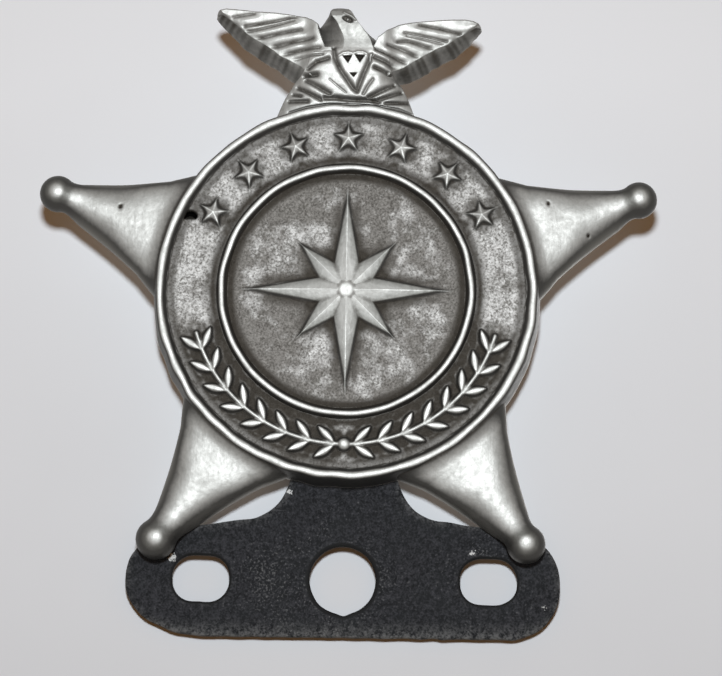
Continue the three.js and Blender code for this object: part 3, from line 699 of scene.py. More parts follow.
def pointShell(order):
    # Star point: superelliptic sections along its axis. The half width narrows in a line from the
    # root with a cubic flare there, a cubic curve carries width and height through the neck with
    # the ball's slope at its end, and from there the sections are the ball's circles.
    p = point
    ballReach, ballRadius = p["ballReach"][order], p["ballRadius"][order]
    bodyReach = np.linspace(p["rootReach"], ballReach - p["tipStart"], p["rows"])
    swing = np.linspace(np.arccos(-p["tipStart"] / ballRadius), 0, p["tipRows"] + 2)[1:-1]
    nominal = np.r_[bodyReach, ballReach + ballRadius * np.cos(swing)][:, None]

    def shareAt(reach):
        return (p["neckReach"] - reach) / (p["neckReach"] - p["rimRadius"])

    share = np.maximum(0, shareAt(nominal))
    taper = p["rootHalf"] - p["neckHalf"] - p["flare"]
    coneHalf = p["neckHalf"] + taper * share + p["flare"] * share ** 3
    coneTop = p["neckHeight"] + (p["rootHeight"] - p["neckHeight"]) * share
    ball = np.sqrt(np.maximum(ballRadius ** 2 - (nominal - ballReach) ** 2, 0))
    turning = smoothStep((nominal - p["neckBegin"]) / p["neckTurn"])
    begin, end = p["neckBegin"], ballReach - p["neckEnd"]
    ballHalf = np.sqrt(ballRadius ** 2 - p["neckEnd"] ** 2)
    along = np.clip((nominal - begin) / (end - begin), 0, 1)
    rising = (along ** 3 - along ** 2) * (end - begin) * p["neckEnd"] / ballHalf
    falling = (along ** 3 - 2 * along ** 2 + along) * (end - begin)
    started = 1 - smoothStep(along)
    neckHalf = p["neckHalf"] + taper * shareAt(begin)
    neckTop = p["neckHeight"] + 0.6 * shareAt(begin)
    half = neckHalf * started + ballHalf * smoothStep(along) - 0.3 * falling + rising
    top = neckTop * started + (p["ballSeat"] + ballHalf) * smoothStep(along) - 0.03 * falling + rising
    half = np.where(nominal < begin, coneHalf, np.where(nominal < end, half, ball))
    top = np.where(nominal < begin, coneTop, np.where(nominal < end, top, p["ballSeat"] + ball))
    middle = p["land"] + (p["ballSeat"] - p["land"]) * turning
    power = p["neckPower"] + (p["rootPower"] - p["neckPower"]) * smoothStep((share - 0.33) / 0.4)
    power = power + (p["ballPower"] - power) * turning
    lowPower = p["lowPower"] + (p["ballPower"] - p["lowPower"]) * turning
    lowDepth = np.maximum(middle, ball * turning)

    around = fullTurn(p["columns"])[None, :]
    cosine, sine = np.cos(around), np.sin(around)
    upper = sine >= 0
    sectionPower = np.where(upper, power, lowPower)
    across = half * np.sign(cosine) * np.abs(cosine) ** (2 / sectionPower)
    rise = np.where(upper, top - middle, lowDepth) * np.sign(sine) * np.abs(sine) ** (2 / sectionPower)
    z = np.maximum(middle + rise, 0.01)
    # the root starts on a circle inside the disc's wall, and a fillet climbs from there to the rim
    rootStart = np.sqrt(p["wallRadius"] ** 2 - np.clip(across, -40, 40) ** 2)
    toRoot = np.clip((p["rootEnd"] - nominal) / (p["rootEnd"] - p["rootReach"]), 0, 1)
    reach = nominal + (rootStart - p["rootReach"]) * toRoot
    fromDisc = np.hypot(reach, across)
    fillet = np.clip(1 - (fromDisc - p["filletFrom"]) / p["filletReach"], 0, 1) ** p["filletPower"]
    lifted = smoothStep((z - middle) / 4)
    z = z + p["filletRise"] * fillet * lifted
    z = z + 0.05 * unevenness(reach, across, 9, 20 + order) * lifted * smoothStep((66 - reach) / 6)
    turn = np.radians(p["angles"][order])
    x = reach * np.cos(turn) - across * np.sin(turn)
    y = reach * np.sin(turn) + across * np.cos(turn)

    # painted shade in the crease where the point leaves the disc's wall
    hollow = 0.8 * smoothStep((43.3 - fromDisc) / 0.8) * smoothStep((z - 1) / 3)
    onBall = smoothStep((reach - 64.8) / 1.6)
    # painted reflection: the lower part of the sides is painted lighter
    foot = smoothStep((5.4 - z) / 3.4) * smoothStep((68 - reach) / 8)
    # painted shade greys the ball away from its crown
    offCrown = np.hypot(reach - ballReach, across)
    dull = 0.2 + onBall * (0.9 * smoothStep((offCrown - 1.0) / 1.2) - 0.2)
    # each pit is dug in and painted black inside: painted shade
    for pitX, pitY, size in p["pits"]:
        pit = bell(np.hypot(x - pitX, y - pitY), size) * lifted
        z = z - p["pitDepth"] * pit
        hollow = np.maximum(hollow, 2.2 * pit)
    paints = dict(hollow=hollow, foot=foot, polish=0.6 * onBall, dull=dull)
    return tubeShell(onCasting(x, y, z), *x.shape, paints)


addCasting("casting_points", [pointShell(order) for order in range(4)])


# Eagle: two wings and a body. Each groove is a line with its half width and depth.

leftWing = dict(
    top=[
        (-4.6, 60.8), (-6.4, 61.6), (-7.6, 62.3), (-8.6, 63.1), (-10.0, 63.8), (-14.2, 64.5), (-17.2, 64.9),
        (-21.5, 65.2), (-25.9, 65.7), (-28.6, 65.9), (-29.9, 65.5), (-30.6, 64.8),
    ],
    wall=[
        (-3.6, 48.4), (-7.6, 49.0), (-9.4, 50.2), (-11.0, 52.0), (-13.4, 53.3), (-16.0, 54.6), (-17.4, 55.8),
        (-19.5, 57.2), (-21.8, 58.5), (-23.3, 59.5), (-24.7, 60.8), (-26.4, 62.1), (-28.2, 63.5),
        (-29.8, 64.5),
    ],
    low=[
        (-4.0, 47.0), (-8.6, 47.6), (-11.5, 48.7), (-14.1, 50.0), (-16.3, 52.0), (-19.3, 53.8), (-21.8, 55.4),
        (-24.4, 57.2), (-25.9, 58.9), (-27.8, 60.8), (-29.6, 62.6), (-30.7, 64.1),
    ],
    grooves=[
        ([(-21.9, 64.2), (-26.6, 63.4)], 0.28, 0.45),
        ([(-12.4, 63.3), (-17.4, 62.3), (-23.9, 61.3)], 0.26, 0.5),
        ([(-12.8, 62.6), (-17.0, 61.4), (-21.2, 60.4), (-24.0, 59.9)], 0.24, 0.45),
        ([(-11.1, 60.4), (-15.6, 59.6), (-19.5, 58.7), (-21.6, 58.3)], 0.3, 0.55),
        ([(-8.5, 58.3), (-12.7, 57.6), (-16.6, 56.6), (-18.6, 56.1)], 0.36, 0.6),
        ([(-6.9, 56.1), (-10.7, 55.7), (-13.9, 54.9), (-15.9, 54.2)], 0.3, 0.55),
        ([(-6.2, 54.4), (-9.9, 54.1), (-12.7, 53.4)], 0.22, 0.4),
        ([(-4.9, 53.4), (-7.5, 52.6), (-9.3, 51.2)], 0.42, 0.8),
        ([(-7.4, 49.7), (-10.0, 49.5)], 0.4, 0.7),
    ],
    scallops=9, scallopDepth=0.3, wallGrooves=0.06, seed=41,
    neckRise=[56.5, 58.0, 60.6, 61.9, 62.6], neckX=[-5.5, -6.1, -7.0, -7.1, -7.6], neckSide=-1,
)

rightWing = dict(
    top=[
        (4.2, 58.6), (5.6, 58.9), (6.8, 59.5), (8.3, 60.8), (10.9, 62.2), (14.3, 62.9), (17.9, 63.3),
        (20.2, 63.5), (23.1, 63.7), (26.1, 63.8), (28.0, 63.5), (29.2, 62.9), (29.9, 62.2),
    ],
    wall=[
        (4.8, 48.0), (7.4, 48.9), (8.8, 49.9), (10.0, 51.0), (12.2, 52.0), (14.8, 53.7), (17.7, 55.4),
        (19.2, 56.3), (22.2, 57.6), (24.0, 59.0), (26.4, 60.2), (27.8, 61.1), (29.0, 61.9),
    ],
    low=[
        (5.0, 46.8), (8.4, 47.4), (11.6, 48.9), (15.0, 50.0), (16.5, 51.0), (18.9, 52.5), (21.1, 53.9),
        (23.7, 55.2), (25.9, 57.0), (27.6, 58.8), (28.8, 60.2), (29.7, 61.3), (30.0, 61.8),
    ],
    grooves=[
        ([(15.7, 61.8), (17.9, 61.4), (20.8, 60.9), (25.0, 59.9)], 0.28, 0.5),
        ([(12.4, 59.9), (16.8, 59.2), (22.0, 58.2)], 0.24, 0.45),
        ([(12.9, 59.2), (16.8, 58.5), (21.0, 57.6)], 0.22, 0.4),
        ([(10.8, 57.8), (12.8, 58.0), (15.8, 57.2), (19.2, 56.2)], 0.28, 0.5),
        ([(8.6, 56.9), (10.8, 56.3), (13.1, 55.4), (15.2, 54.4)], 0.3, 0.55),
        ([(5.9, 55.6), (10.0, 54.0), (12.8, 52.8)], 0.3, 0.55),
        ([(5.6, 53.8), (8.1, 52.8), (10.3, 51.4)], 0.42, 0.8),
        ([(5.7, 51.4), (8.5, 50.2)], 0.38, 0.75),
    ],
    scallops=10, scallopDepth=0.36, wallGrooves=0.1, seed=43,
    neckRise=[56.2, 57.5, 58.6, 59.5, 60.5], neckX=[5.0, 5.6, 6.1, 6.6, 7.0], neckSide=1,
)

wingForm = dict(
    columns=190, rows=150, edgeRows=10, wallRows=16, edgeRun=0.8, shoulderHeight=6.1, tipHeight=4.4,
    trailHeight=4.6, trailFall=0.6, groove=0.5, feather=0.27, grooveSharp=1.3, featherSpread=1.05,
    neckHeight=1.5, tuck=1.3, tuckSide=9.3, tuckRise=51.2, tuckRun=1.6, tipStart=0.955, underside=0.02,
)


def rootHeight(x, y):
    # the breast's height where it runs into the wings, lower towards the tail and outwards
    outward = 0.03 * (np.abs(x) - 4) + 1.1 * smoothStep((np.abs(x) - 7.5) / 4)
    return 6.15 + 0.1 * smoothStep((y - 49) / 10) - outward


def carve(x, y, grooves, sharp, spread):
    # depth that the grooves take off, with dirt and painted shade: a sharp bell curve of the distance from
    # each groove's line, and a wide shallow one that rounds the metal between two grooves
    cut, trough, dirtAndShade = np.zeros_like(x), np.zeros_like(x), np.zeros_like(x)
    for line, width, deep in grooves:
        distance = lineDistance(x, y, line)
        cut = np.maximum(cut, deep * bell(distance, sharp * width))
        trough = np.maximum(trough, min(1, deep / 0.5) * bell(distance, spread))
        dirtAndShade = np.maximum(dirtAndShade, min(1, deep / 0.5) * bell(distance, 1.25 * width + 0.1))
    dirtAndShade = dirtAndShade * (0.85 + 0.05 * unevenness(x, y, 4.5, 31))
    # painted shade and dirt, soft towards a groove's edges and darkest along its line
    return cut, trough, 0.62 * smoothStep(dirtAndShade / 0.95) + 0.4 * smoothStep((dirtAndShade - 0.6) / 0.4)


def wingShell(wing):
    # Wing: t runs from the shoulder to the tip and s across, from the leading edge to the scalloped
    # trailing wall. Three lines give each place: leading edge, top of the wall and foot of the wall.
    w = wingForm
    t = 1 - (1 - np.linspace(0, 1, w["columns"])) ** 1.25
    topX, topY = alongLine(wing["top"], t)
    wallX, wallY = alongLine(wing["wall"], t)
    lowX, lowY = alongLine(wing["low"], t)
    wave = 0.5 + 0.25 * unevenness(t, 0 * t, 1 / wing["scallops"], wing["seed"] + 1)
    outX, outY = lowX - wallX, lowY - wallY
    taper = smoothStep((1 - t) / 0.12)
    scallop = wing["scallopDepth"] * (wave - 0.6) * taper / np.hypot(outX, outY)
    lowX, lowY = lowX + outX * scallop, lowY + outY * scallop
    span = np.hypot(wallX - topX, wallY - topY)
    inset = np.minimum(w["edgeRun"], 0.35 * span) / span

    # upper side: a quarter turn up from the leading edge, then across to the wall
    edgeSwing = np.linspace(0, np.pi / 2, w["edgeRows"], endpoint=False)[:, None]
    edgeShare = inset * (1 - np.cos(edgeSwing))
    middleShare = inset + (1 - inset) * np.linspace(0, 1, w["rows"])[:, None]
    share = np.vstack([edgeShare, middleShare])
    x = topX + (wallX - topX) * share
    y = topY + (wallY - topY) * share
    alongWing = np.broadcast_to(t, share.shape)
    surface = w["shoulderHeight"] + (w["tipHeight"] - w["shoulderHeight"]) * alongWing ** 0.8
    trailing = 0.75 * smoothStep(share) ** 1.4 * smoothStep(alongWing / 0.3)
    surface = surface + (w["trailHeight"] - surface) * trailing
    surface = surface + (rootHeight(x, y) - surface) * (1 - smoothStep((np.abs(x) - 8) / 5))
    surface = surface + 0.05 * unevenness(x, y, 5, wing["seed"])
    cut, trough, dirtAndShade = carve(x, y, wing["grooves"], w["grooveSharp"], w["featherSpread"])
    within = smoothStep((1.04 - share) / 0.22)
    fall = w["trailFall"] * np.clip((share - 0.5) / 0.5, 0, 1) ** 2
    surface = surface - (w["groove"] * cut + w["feather"] * trough) * within
    surface = surface - fall * smoothStep((np.abs(x) - 7) / 6)
    # it drops away beside the neck, and its inner trailing corner is tucked under the breast
    clear = wing["neckSide"] * (x - np.interp(y, wing["neckRise"], wing["neckX"]))
    neckGap = (1 - smoothStep(clear / 0.6 + 0.5)) * smoothStep((y - wing["neckRise"][0] + 0.4) / 0.5)
    surface = surface * (1 - neckGap) + w["neckHeight"] * neckGap
    tuck = w["tuck"] * smoothStep((w["tuckSide"] - np.abs(x)) / w["tuckRun"])
    surface = surface - tuck * smoothStep((w["tuckRise"] - y) / w["tuckRun"])
    z = surface * np.vstack([np.sin(edgeSwing) ** 0.8 * np.ones_like(topX), np.ones_like(middleShare)])

    # trailing wall, with fine upright grooves, then two rows on the flat underside
    drop = np.linspace(0, 1, w["wallRows"] + 1)[1:, None]
    x = np.vstack([x, wallX + (lowX - wallX) * drop ** 1.1])
    y = np.vstack([y, wallY + (lowY - wallY) * drop ** 1.1])
    ripple = unevenness(t, 0 * t, 0.6 / wing["scallops"], wing["seed"] + 2)
    stria = wing["wallGrooves"] * ripple * taper
    wallHeight = z[-1] * (1 - 0.3 * drop - 0.7 * drop ** 2.6) + stria * np.sin(np.pi * drop)
    z = np.vstack([z, np.maximum(wallHeight, 0)])
    tip = np.sqrt(np.clip(1 - np.clip((t - w["tipStart"]) / (1 - w["tipStart"]), 0, 1) ** 2, 0, 1))
    z = z * (0.12 + 0.88 * tip)
    for inside in (0.05, 0.95):
        x = np.vstack([x, lowX + (topX - lowX) * inside])
        y = np.vstack([y, lowY + (topY - lowY) * inside])
        z = np.vstack([z, 0 * topX])
    z = np.maximum(z, w["underside"])  # a hair above the body's underside

    upper, wall = slice(0, share.shape[0]), slice(share.shape[0], -2)
    hollow, dull = np.zeros_like(x), np.zeros_like(x)
    # painted shade with dirt along the grooves, painted shade beside the neck and on the trailing wall
    hollow[upper] = np.maximum(dirtAndShade * within, 0.5 * neckGap)
    hollow[:w["edgeRows"]] = 0
    hollow[wall] = np.clip(0.45 + 0.3 * ripple - 0.4 * drop, 0, 1)
    # painted shade greys the wing towards its leading and trailing edges, outwards, and over its trailing
    # wall
    greyed = 0.35 * smoothStep((share - 0.65) / 0.35) + 0.35 * smoothStep((0.12 - share) / 0.1)
    dull[upper] = greyed * smoothStep((np.abs(x[upper]) - 6) / 6)
    dull[wall] = np.clip(0.75 + 0.25 * ripple, 0, 1)
    return tubeShell(onCasting(x.T, y.T, z.T), *x.T.shape, dict(hollow=hollow.T, dull=dull.T))


body = dict(
    # a row of the tables for each rise; crest is the level strip along the breast, neck and head
    rise=[
        39.2, 42.3, 44.3, 46.1, 47.4, 48.6, 50.0, 52.0, 54.0, 56.0, 58.0, 59.3, 60.5, 61.6, 62.4, 63.4, 64.5,
        65.1, 65.5,
    ],
    left=[
        -17.0, -15.5, -14.6, -13.6, -12.8, -12.0, -10.8, -9.5, -9.0, -7.4, -7.0, -7.1, -7.2, -6.9, -6.3, -5.7,
        -5.1, -4.5, -3.2,
    ],
    right=[
        15.2, 14.0, 13.3, 12.5, 11.8, 10.6, 9.5, 9.2, 8.8, 7.4, 6.4, 5.6, 4.2, 3.1, 2.4, 1.6, 0.8, 0.1, -1.6,
    ],
    crestLeft=[
        -4, -4, -4, -4, -3.8, -3.4, -3.0, -2.8, -2.6, -1.4, -1.3, -1.7, -2.3, -2.8, -3.3, -4.2, -4.5, -4.0,
        -3.0,
    ],
    crestRight=[5, 5, 5, 5, 5, 4.8, 4.6, 4.5, 4.6, 5.2, 4.6, 3.8, 2.8, 2.0, 1.5, 0.9, 0.3, -0.4, -1.8],
    crestHeight=[
        5.2, 5.4, 5.6, 5.8, 6.1, 6.3, 6.5, 6.6, 6.6, 6.4, 6.3, 6.3, 6.4, 6.5, 6.5, 6.5, 6.2, 5.8, 5.0,
    ],
    leftHeight=[
        3.4, 3.4, 3.4, 3.5, 3.6, 3.8, 4.2, 4.5, 4.7, 4.4, 3.0, 2.8, 2.6, 2.2, 1.8, 1.4, 1.2, 1.0, 0.8,
    ],
    rightHeight=[
        3.4, 3.4, 3.4, 3.5, 3.6, 3.8, 4.2, 4.5, 4.7, 4.2, 2.6, 1.2, 1.0, 1.0, 1.0, 1.0, 0.9, 0.8, 0.6,
    ],
    rows=230, columns=200, wallColumns=8, wallRun=0.25, arcRadius=42.1, arcEnd=46, underside=0.01,
    breastFrom=49.2, breastTo=54.8, breastProud=0.04, groove=0.65, feather=0.16, grooveSharp=1.2,
    featherSpread=0.85,
    grooves=[
        ([(-3.6, 55.7), (-3.3, 53.4), (-2.1, 50.8), (-0.5, 48.5), (0.8, 46.7), (1.7, 46.0)], 0.42, 0.7),
        ([(4.9, 54.2), (4.0, 51.8), (3.3, 50.2), (2.5, 48.2), (1.7, 46.0)], 0.42, 0.7),
        ([(-4.5, 48.6), (-3.2, 47.5), (-0.8, 45.7)], 0.16, 0.25),
        ([(5.3, 48.7), (4.2, 47.2), (3.2, 45.4)], 0.24, 0.4),
        ([(-9.7, 48.5), (-4.5, 45.4)], 0.42, 0.75), ([(-11.6, 46.9), (-6.4, 44.1)], 0.36, 0.65),
        ([(-12.7, 45.4), (-11.0, 45.0)], 0.3, 0.5), ([(-13.5, 43.8), (-9.4, 43.7)], 0.36, 0.6),
        ([(10.0, 47.6), (4.4, 44.6)], 0.4, 0.75), ([(11.7, 46.1), (6.6, 44.0)], 0.36, 0.65),
        ([(13.3, 43.8), (8.3, 43.3)], 0.34, 0.6),
        ([(-5.5, 44.4), (-2.9, 44.4), (0.5, 44.0), (4.4, 44.0), (6.6, 43.6)], 0.45, 0.75),
        (
            [(-13.5, 41.2), (-9.6, 42.3), (-4.6, 43.0), (0.5, 43.1), (6.6, 42.7), (11.3, 42.1), (14.2, 41.2)],
            0.22, 0.4,
        ),
    ],
    pits=[
        ([(-1.5, 53.9), (0.4, 54.0), (-0.4, 52.5)], 0.6), ([(1.3, 54.2), (3.3, 54.1), (2.3, 52.6)], 0.6),
        ([(0.1, 50.0), (1.6, 50.0), (0.9, 49.2)], 0.4),
    ],
    shieldTop=[(-2.6, 53.9), (-1.5, 54.6), (-0.3, 54.8), (0.7, 54.5), (1.7, 54.9), (3.0, 54.9), (3.9, 54.4)],
    shieldProud=0.22, shieldWidth=0.3, brow=[(-1.4, 64.1), (0.0, 63.4), (1.1, 62.5)], browProud=0.35,
    browWidth=0.35, eyeCentre=(-0.6, 62.55), eyeHalf=(1.3, 0.62), eyeTurn=-24,
)


def insideTriangle(x, y, corners):
    # 1 inside a triangle and 0 outside, with a soft edge
    middle = np.mean(corners, axis=0)
    inside = np.full(x.shape, np.inf)
    for (ax, ay), (bx, by) in zip(corners, corners[1:] + corners[:1]):
        normal = np.array([by - ay, ax - bx]) / np.hypot(bx - ax, by - ay)
        if (middle - [ax, ay]) @ normal < 0:
            normal = -normal
        inside = np.minimum(inside, (x - ax) * normal[0] + (y - ay) * normal[1])
    return smoothStep(0.5 + inside / 0.35)


def bodyShell():
    # Eagle's body: rows climb from the tail to the head, and each crosses from the left side by
    # the crest to the right side. The rows' sizes come from the table, with grooves and pits cut in.
    level = np.linspace(0, 1, body["rows"])
    first, last = body["rise"][0], body["rise"][-1]
    rise = (first + (last - first) * (1 - (1 - level) ** 1.15))[:, None]

    def table(key):
        return np.interp(rise, body["rise"], body[key])

    s = np.linspace(-1, 1, body["columns"])[None, :]
    left, right = table("left"), table("right")
    x = left + (right - left) * (s + 1) / 2
    # the tail's foot follows the disc's wall
    start = np.sqrt(body["arcRadius"] ** 2 - np.clip(x, -20, 20) ** 2)
    y = rise + (start - first) * np.clip((body["arcEnd"] - rise) / (body["arcEnd"] - first), 0, 1)
    crestLeft, crestRight = table("crestLeft"), table("crestRight")
    offLeft = np.clip((crestLeft - x) / np.maximum(crestLeft - left, 1e-6), 0, 1)
    offRight = np.clip((x - crestRight) / np.maximum(right - crestRight, 1e-6), 0, 1)
    crown = table("crestHeight")
    bend = 2.2 - 1.1 * smoothStep((rise - 54.5) / 2)
    z = crown - (crown - table("leftHeight")) * offLeft ** bend
    z = z - (crown - table("rightHeight")) * offRight ** bend
    # over the breast it runs level into the wings
    root = rootHeight(x, y)
    breast = root + (crown - root) * (1 - (offLeft + offRight) ** 2) ** 2 + body["breastProud"]
    below = 1 - smoothStep((rise - body["breastTo"]) / 1.4)
    onBreast = smoothStep((rise - body["breastFrom"]) / 1.6) * below
    z = z + (breast - z) * onBreast
    z = z + 0.04 * unevenness(x, y, 5, 51)

    grooves = body["grooves"] + leftWing["grooves"] + rightWing["grooves"]
    cut, trough, dirtAndShade = carve(x, y, grooves, body["grooveSharp"], body["featherSpread"])
    depth = body["groove"] * cut + body["feather"] * trough * smoothStep((56 - rise) / 2)
    pitted = np.zeros_like(x)
    for corners, deep in body["pits"]:
        inside = insideTriangle(x, y, corners)
        pitted = np.maximum(pitted, inside)
        depth = np.maximum(depth, deep * inside)
    raised = body["shieldProud"] * bell(lineDistance(x, y, body["shieldTop"]), body["shieldWidth"])
    raised = raised + body["browProud"] * bell(lineDistance(x, y, body["brow"]), body["browWidth"])
    turn = np.radians(body["eyeTurn"])
    offX, offY = x - body["eyeCentre"][0], y - body["eyeCentre"][1]
    eyeX = (offX * np.cos(turn) + offY * np.sin(turn)) / body["eyeHalf"][0]
    eyeY = (-offX * np.sin(turn) + offY * np.cos(turn)) / body["eyeHalf"][1]
    socket = smoothStep((1.2 - np.hypot(eyeX, eyeY)) / 0.6)
    pupil = smoothStep((0.5 - np.hypot(offX, offY)) / 0.35)
    depth = np.maximum(depth, 0.45 * socket - 0.2 * pupil)
    z = z + raised - depth

    # painted shade on the neck's sides, in the eye's socket and, black, in the pits
    neckSide = smoothStep((rise - 56.0) / 0.7) * smoothStep(np.maximum(offLeft, offRight) / 0.12)
    hollow = np.maximum(dirtAndShade, 0.25 * neckSide)
    hollow = np.maximum(hollow, 0.9 * socket - 0.6 * pupil)
    hollow = np.maximum(hollow, 1.5 * pitted)
    dull = 0.45 * smoothStep((rise - 55.5) / 2) + 0.2 * smoothStep((49 - rise) / 5) + 0 * x

    # side walls, and an underside of every eighth column, so that it follows the arc
    wallSwing = np.linspace(0, 1, body["wallColumns"])[None, :] * np.pi / 2
    under = slice(-4, 3, -8)
    leftX = x[:, :1] - body["wallRun"] * np.cos(wallSwing)
    rightX = x[:, -1:] + body["wallRun"] * np.sin(wallSwing)
    leftZ, rightZ = z[:, :1] * np.sin(wallSwing), z[:, -1:] * np.cos(wallSwing)
    sideColumns = body["wallColumns"] - 1
    leftY, rightY = np.repeat(y[:, :1], sideColumns, axis=1), np.repeat(y[:, -1:], sideColumns, axis=1)
    x = np.hstack([leftX[:, :-1], x, rightX[:, 1:], x[:, under]])
    y = np.hstack([leftY, y, rightY, y[:, under]])
    z = np.hstack([leftZ[:, :-1], z, rightZ[:, 1:], 0 * z[:, under]])
    z = np.maximum(z, body["underside"])
    edges = ((0, 0), (sideColumns, x.shape[1] - hollow.shape[1] - sideColumns))
    paints = dict(hollow=np.pad(hollow, edges), dull=np.pad(dull, edges))
    return tubeShell(onCasting(x, y, z), *x.shape, paints)


eagleCrease, eagleFlankShade = 50, 0.4
addCasting("eagle_left_wing", [wingShell(leftWing)], eagleCrease, eagleFlankShade)
addCasting("eagle_right_wing", [wingShell(rightWing)], eagleCrease, eagleFlankShade)
addCasting("eagle_body", [bodyShell()], eagleCrease, eagleFlankShade)


bracket = dict(
    thickness=1.6, slotCentres=[-31.35, 32.15], slotLength=13.2, slotHeight=10.9, slotCorner=4.9,
    centreHole=7.65, holeStretch=0.15, holeDrop=0.05, half=48.0, drop=12.7, leftCorner=18.0, rightCorner=11.0,
    lowerRise=11.5, endRun=12.0, shoulderRise=11.2, slopeRun=15.0, slopeRise=2.2, neckHalf=11.2,
    filletRise=13.5, neckTop=45.7, screwRises=[33.9, 48.9], screwHole=2.6,
    edgeRoll=0.42, slotRoll=0.7, holeRoll=1.05, holeInset=0.35, rollSteps=6, spacing=0.5, fillStep=0.95,
    fillGap=0.55, waviness=0.06, bend=0.07,
    dents=[(0.3, -8.0, -0.45, 1.2), (-31.6, -4.6, 0.5, 0.6), (22, -12.6, 0.25, 1.1), (-46.2, 4.0, 0.2, 1.4)],
    speckled=[(-16.5, -1.5, 8), (1, -2, 11), (30, 5, 5)],
)


def ellipseArc(centreX, centreY, radiusX, radiusY, fromDegrees, toDegrees, count=24):
    swing = np.radians(np.linspace(fromDegrees, toDegrees, count))
    return np.c_[centreX + radiusX * np.cos(swing), centreY + radiusY * np.sin(swing)]


def quadraticCurve(start, control, end, count=24):
    share = np.linspace(0, 1, count)[:, None]
    start, control, end = np.array(start), np.array(control), np.array(end)
    return (1 - share) ** 2 * start + 2 * share * (1 - share) * control + share ** 2 * end


def evenLoop(points, spacing):
    # closed line cut again into even steps
    closed = np.vstack([points, points[:1]])
    length = np.hypot(*np.diff(closed, axis=0).T).sum()
    count = int(round(length / spacing))
    return np.c_[alongLine(closed, np.arange(count) / count)]


def bracketLoops():
    # outline, two slots, centre hole and screw holes, each with the metal on its left
    b = bracket
    slopeEnd = b["half"] - b["endRun"] - b["slopeRun"]
    slopeTop = b["shoulderRise"] + b["slopeRise"]
    filletTop = slopeTop + b["filletRise"]
    elbowX, elbowY = b["neckHalf"] + b["slopeRise"] / 2, slopeTop + b["slopeRise"] / 2
    lower = b["lowerRise"] - b["drop"]
    loops = [np.vstack([
        ellipseArc(b["half"] - b["rightCorner"], lower, b["rightCorner"], b["lowerRise"], -90, 0),
        ellipseArc(b["half"] - b["endRun"], 0, b["endRun"], b["shoulderRise"], 0, 90),
        quadraticCurve((slopeEnd, slopeTop), (elbowX, elbowY), (b["neckHalf"], filletTop)),
        ellipseArc(0, b["neckTop"], b["neckHalf"], b["neckHalf"], 0, 180, 48),
        quadraticCurve((-b["neckHalf"], filletTop), (-elbowX, elbowY), (-slopeEnd, slopeTop)),
        ellipseArc(b["endRun"] - b["half"], 0, b["endRun"], b["shoulderRise"], 90, 180),
        ellipseArc(b["leftCorner"] - b["half"], lower, b["leftCorner"], b["lowerRise"], 180, 270),
    ])]
    corner = b["slotCorner"]
    right, top = b["slotLength"] / 2 - corner, b["slotHeight"] / 2 - corner
    for centre in b["slotCentres"]:
        loops.append(np.vstack([
            ellipseArc(centre + sideX * right, sideY * top, corner, corner, begin, begin - 90)
            for sideX, sideY, begin in ((1, 1, 90), (1, -1, 0), (-1, -1, -90), (-1, 1, 180))
        ]))
    tall = b["centreHole"] + b["holeStretch"]
    loops.append(ellipseArc(0, -b["holeDrop"], b["centreHole"], tall, 0, -360, 97)[:-1])
    for rise in b["screwRises"]:
        loops.append(ellipseArc(0, rise, b["screwHole"], b["screwHole"], 0, -360, 49)[:-1])
    return [evenLoop(loop, b["spacing"]) for loop in loops]


def inward(loop):
    # unit vectors into the metal, to the left of the loop's direction
    along = np.roll(loop, -1, axis=0) - np.roll(loop, 1, axis=0)
    along = along / np.hypot(*along.T)[:, None]
    return np.c_[-along[:, 1], along[:, 0]]


def insideLoop(points, loop):
    # even-odd test of many points against one loop
    x, y = points[:, :1], points[:, 1:]
    ax, ay = loop[:, 0], loop[:, 1]
    bx, by = np.roll(ax, -1), np.roll(ay, -1)
    crosses = (ay > y) != (by > y)
    at = ax + (y - ay) / np.where(by == ay, 1e-12, by - ay) * (bx - ax)
    return (crosses & (x < at)).sum(axis=1) % 2 == 1


def loopDistance(points, loop):
    return np.min(np.hypot(points[:, :1] - loop[:, 0], points[:, 1:] - loop[:, 1]), axis=1)


def rolledEdge(loop, order):
    # strip along a loop: a quarter turn from the front to the edge and another to the back
    b = bracket
    swing = np.linspace(0, np.pi / 2, b["rollSteps"])
    punched = 1 <= order <= 3  # the slots and the centre hole are rolled wider by the punch
    roll = {1: b["slotRoll"], 2: b["slotRoll"], 3: b["holeRoll"]}.get(order, b["edgeRoll"])
    deep = b["edgeRoll"]
    insets = np.r_[roll * (1 - np.sin(swing)), deep * (1 - np.cos(swing))[1:]] - b["holeInset"] * punched
    heights = np.r_[b["thickness"] - deep * (1 - np.cos(swing)), deep * (1 - np.sin(swing)[1:])]
    wobble = b["waviness"] * unevenness(loop[:, 0], loop[:, 1], 7, 60 + order)[:, None]
    for dentX, dentY, depth, width in b["dents"]:
        wobble = wobble - depth * bell(np.hypot(loop[:, 0] - dentX, loop[:, 1] - dentY)[:, None], width)
    base = loop + inward(loop) * wobble
    plan = base[None] + inward(loop)[None] * insets[:, None, None]
    z = np.broadcast_to(heights[:, None], plan.shape[:2])
    wear = bell(heights - 1.35, 0.35)[:, None] * (0.55 + 0.45 * smoothStep((-8 - base[:, 1]) / 3))
    bare = smoothStep((1.15 - heights) / 0.3) * smoothStep(heights / 0.2)
    # painted shade on the rolls round the slots and the centre hole
    rolled = punched * (1 - smoothStep((insets - insets[0] + 0.3) / 0.3))
    return plan[0], dict(
        points=np.c_[plan.reshape(-1, 2), z.ravel()],
        faces=gridFaces(len(insets), len(loop), wrapColumns=True),
        worn=(wear * (0.25 if punched else 1)).ravel(),
        edge=np.repeat(bare, len(loop)), rolled=np.repeat(rolled, len(loop)),
    )


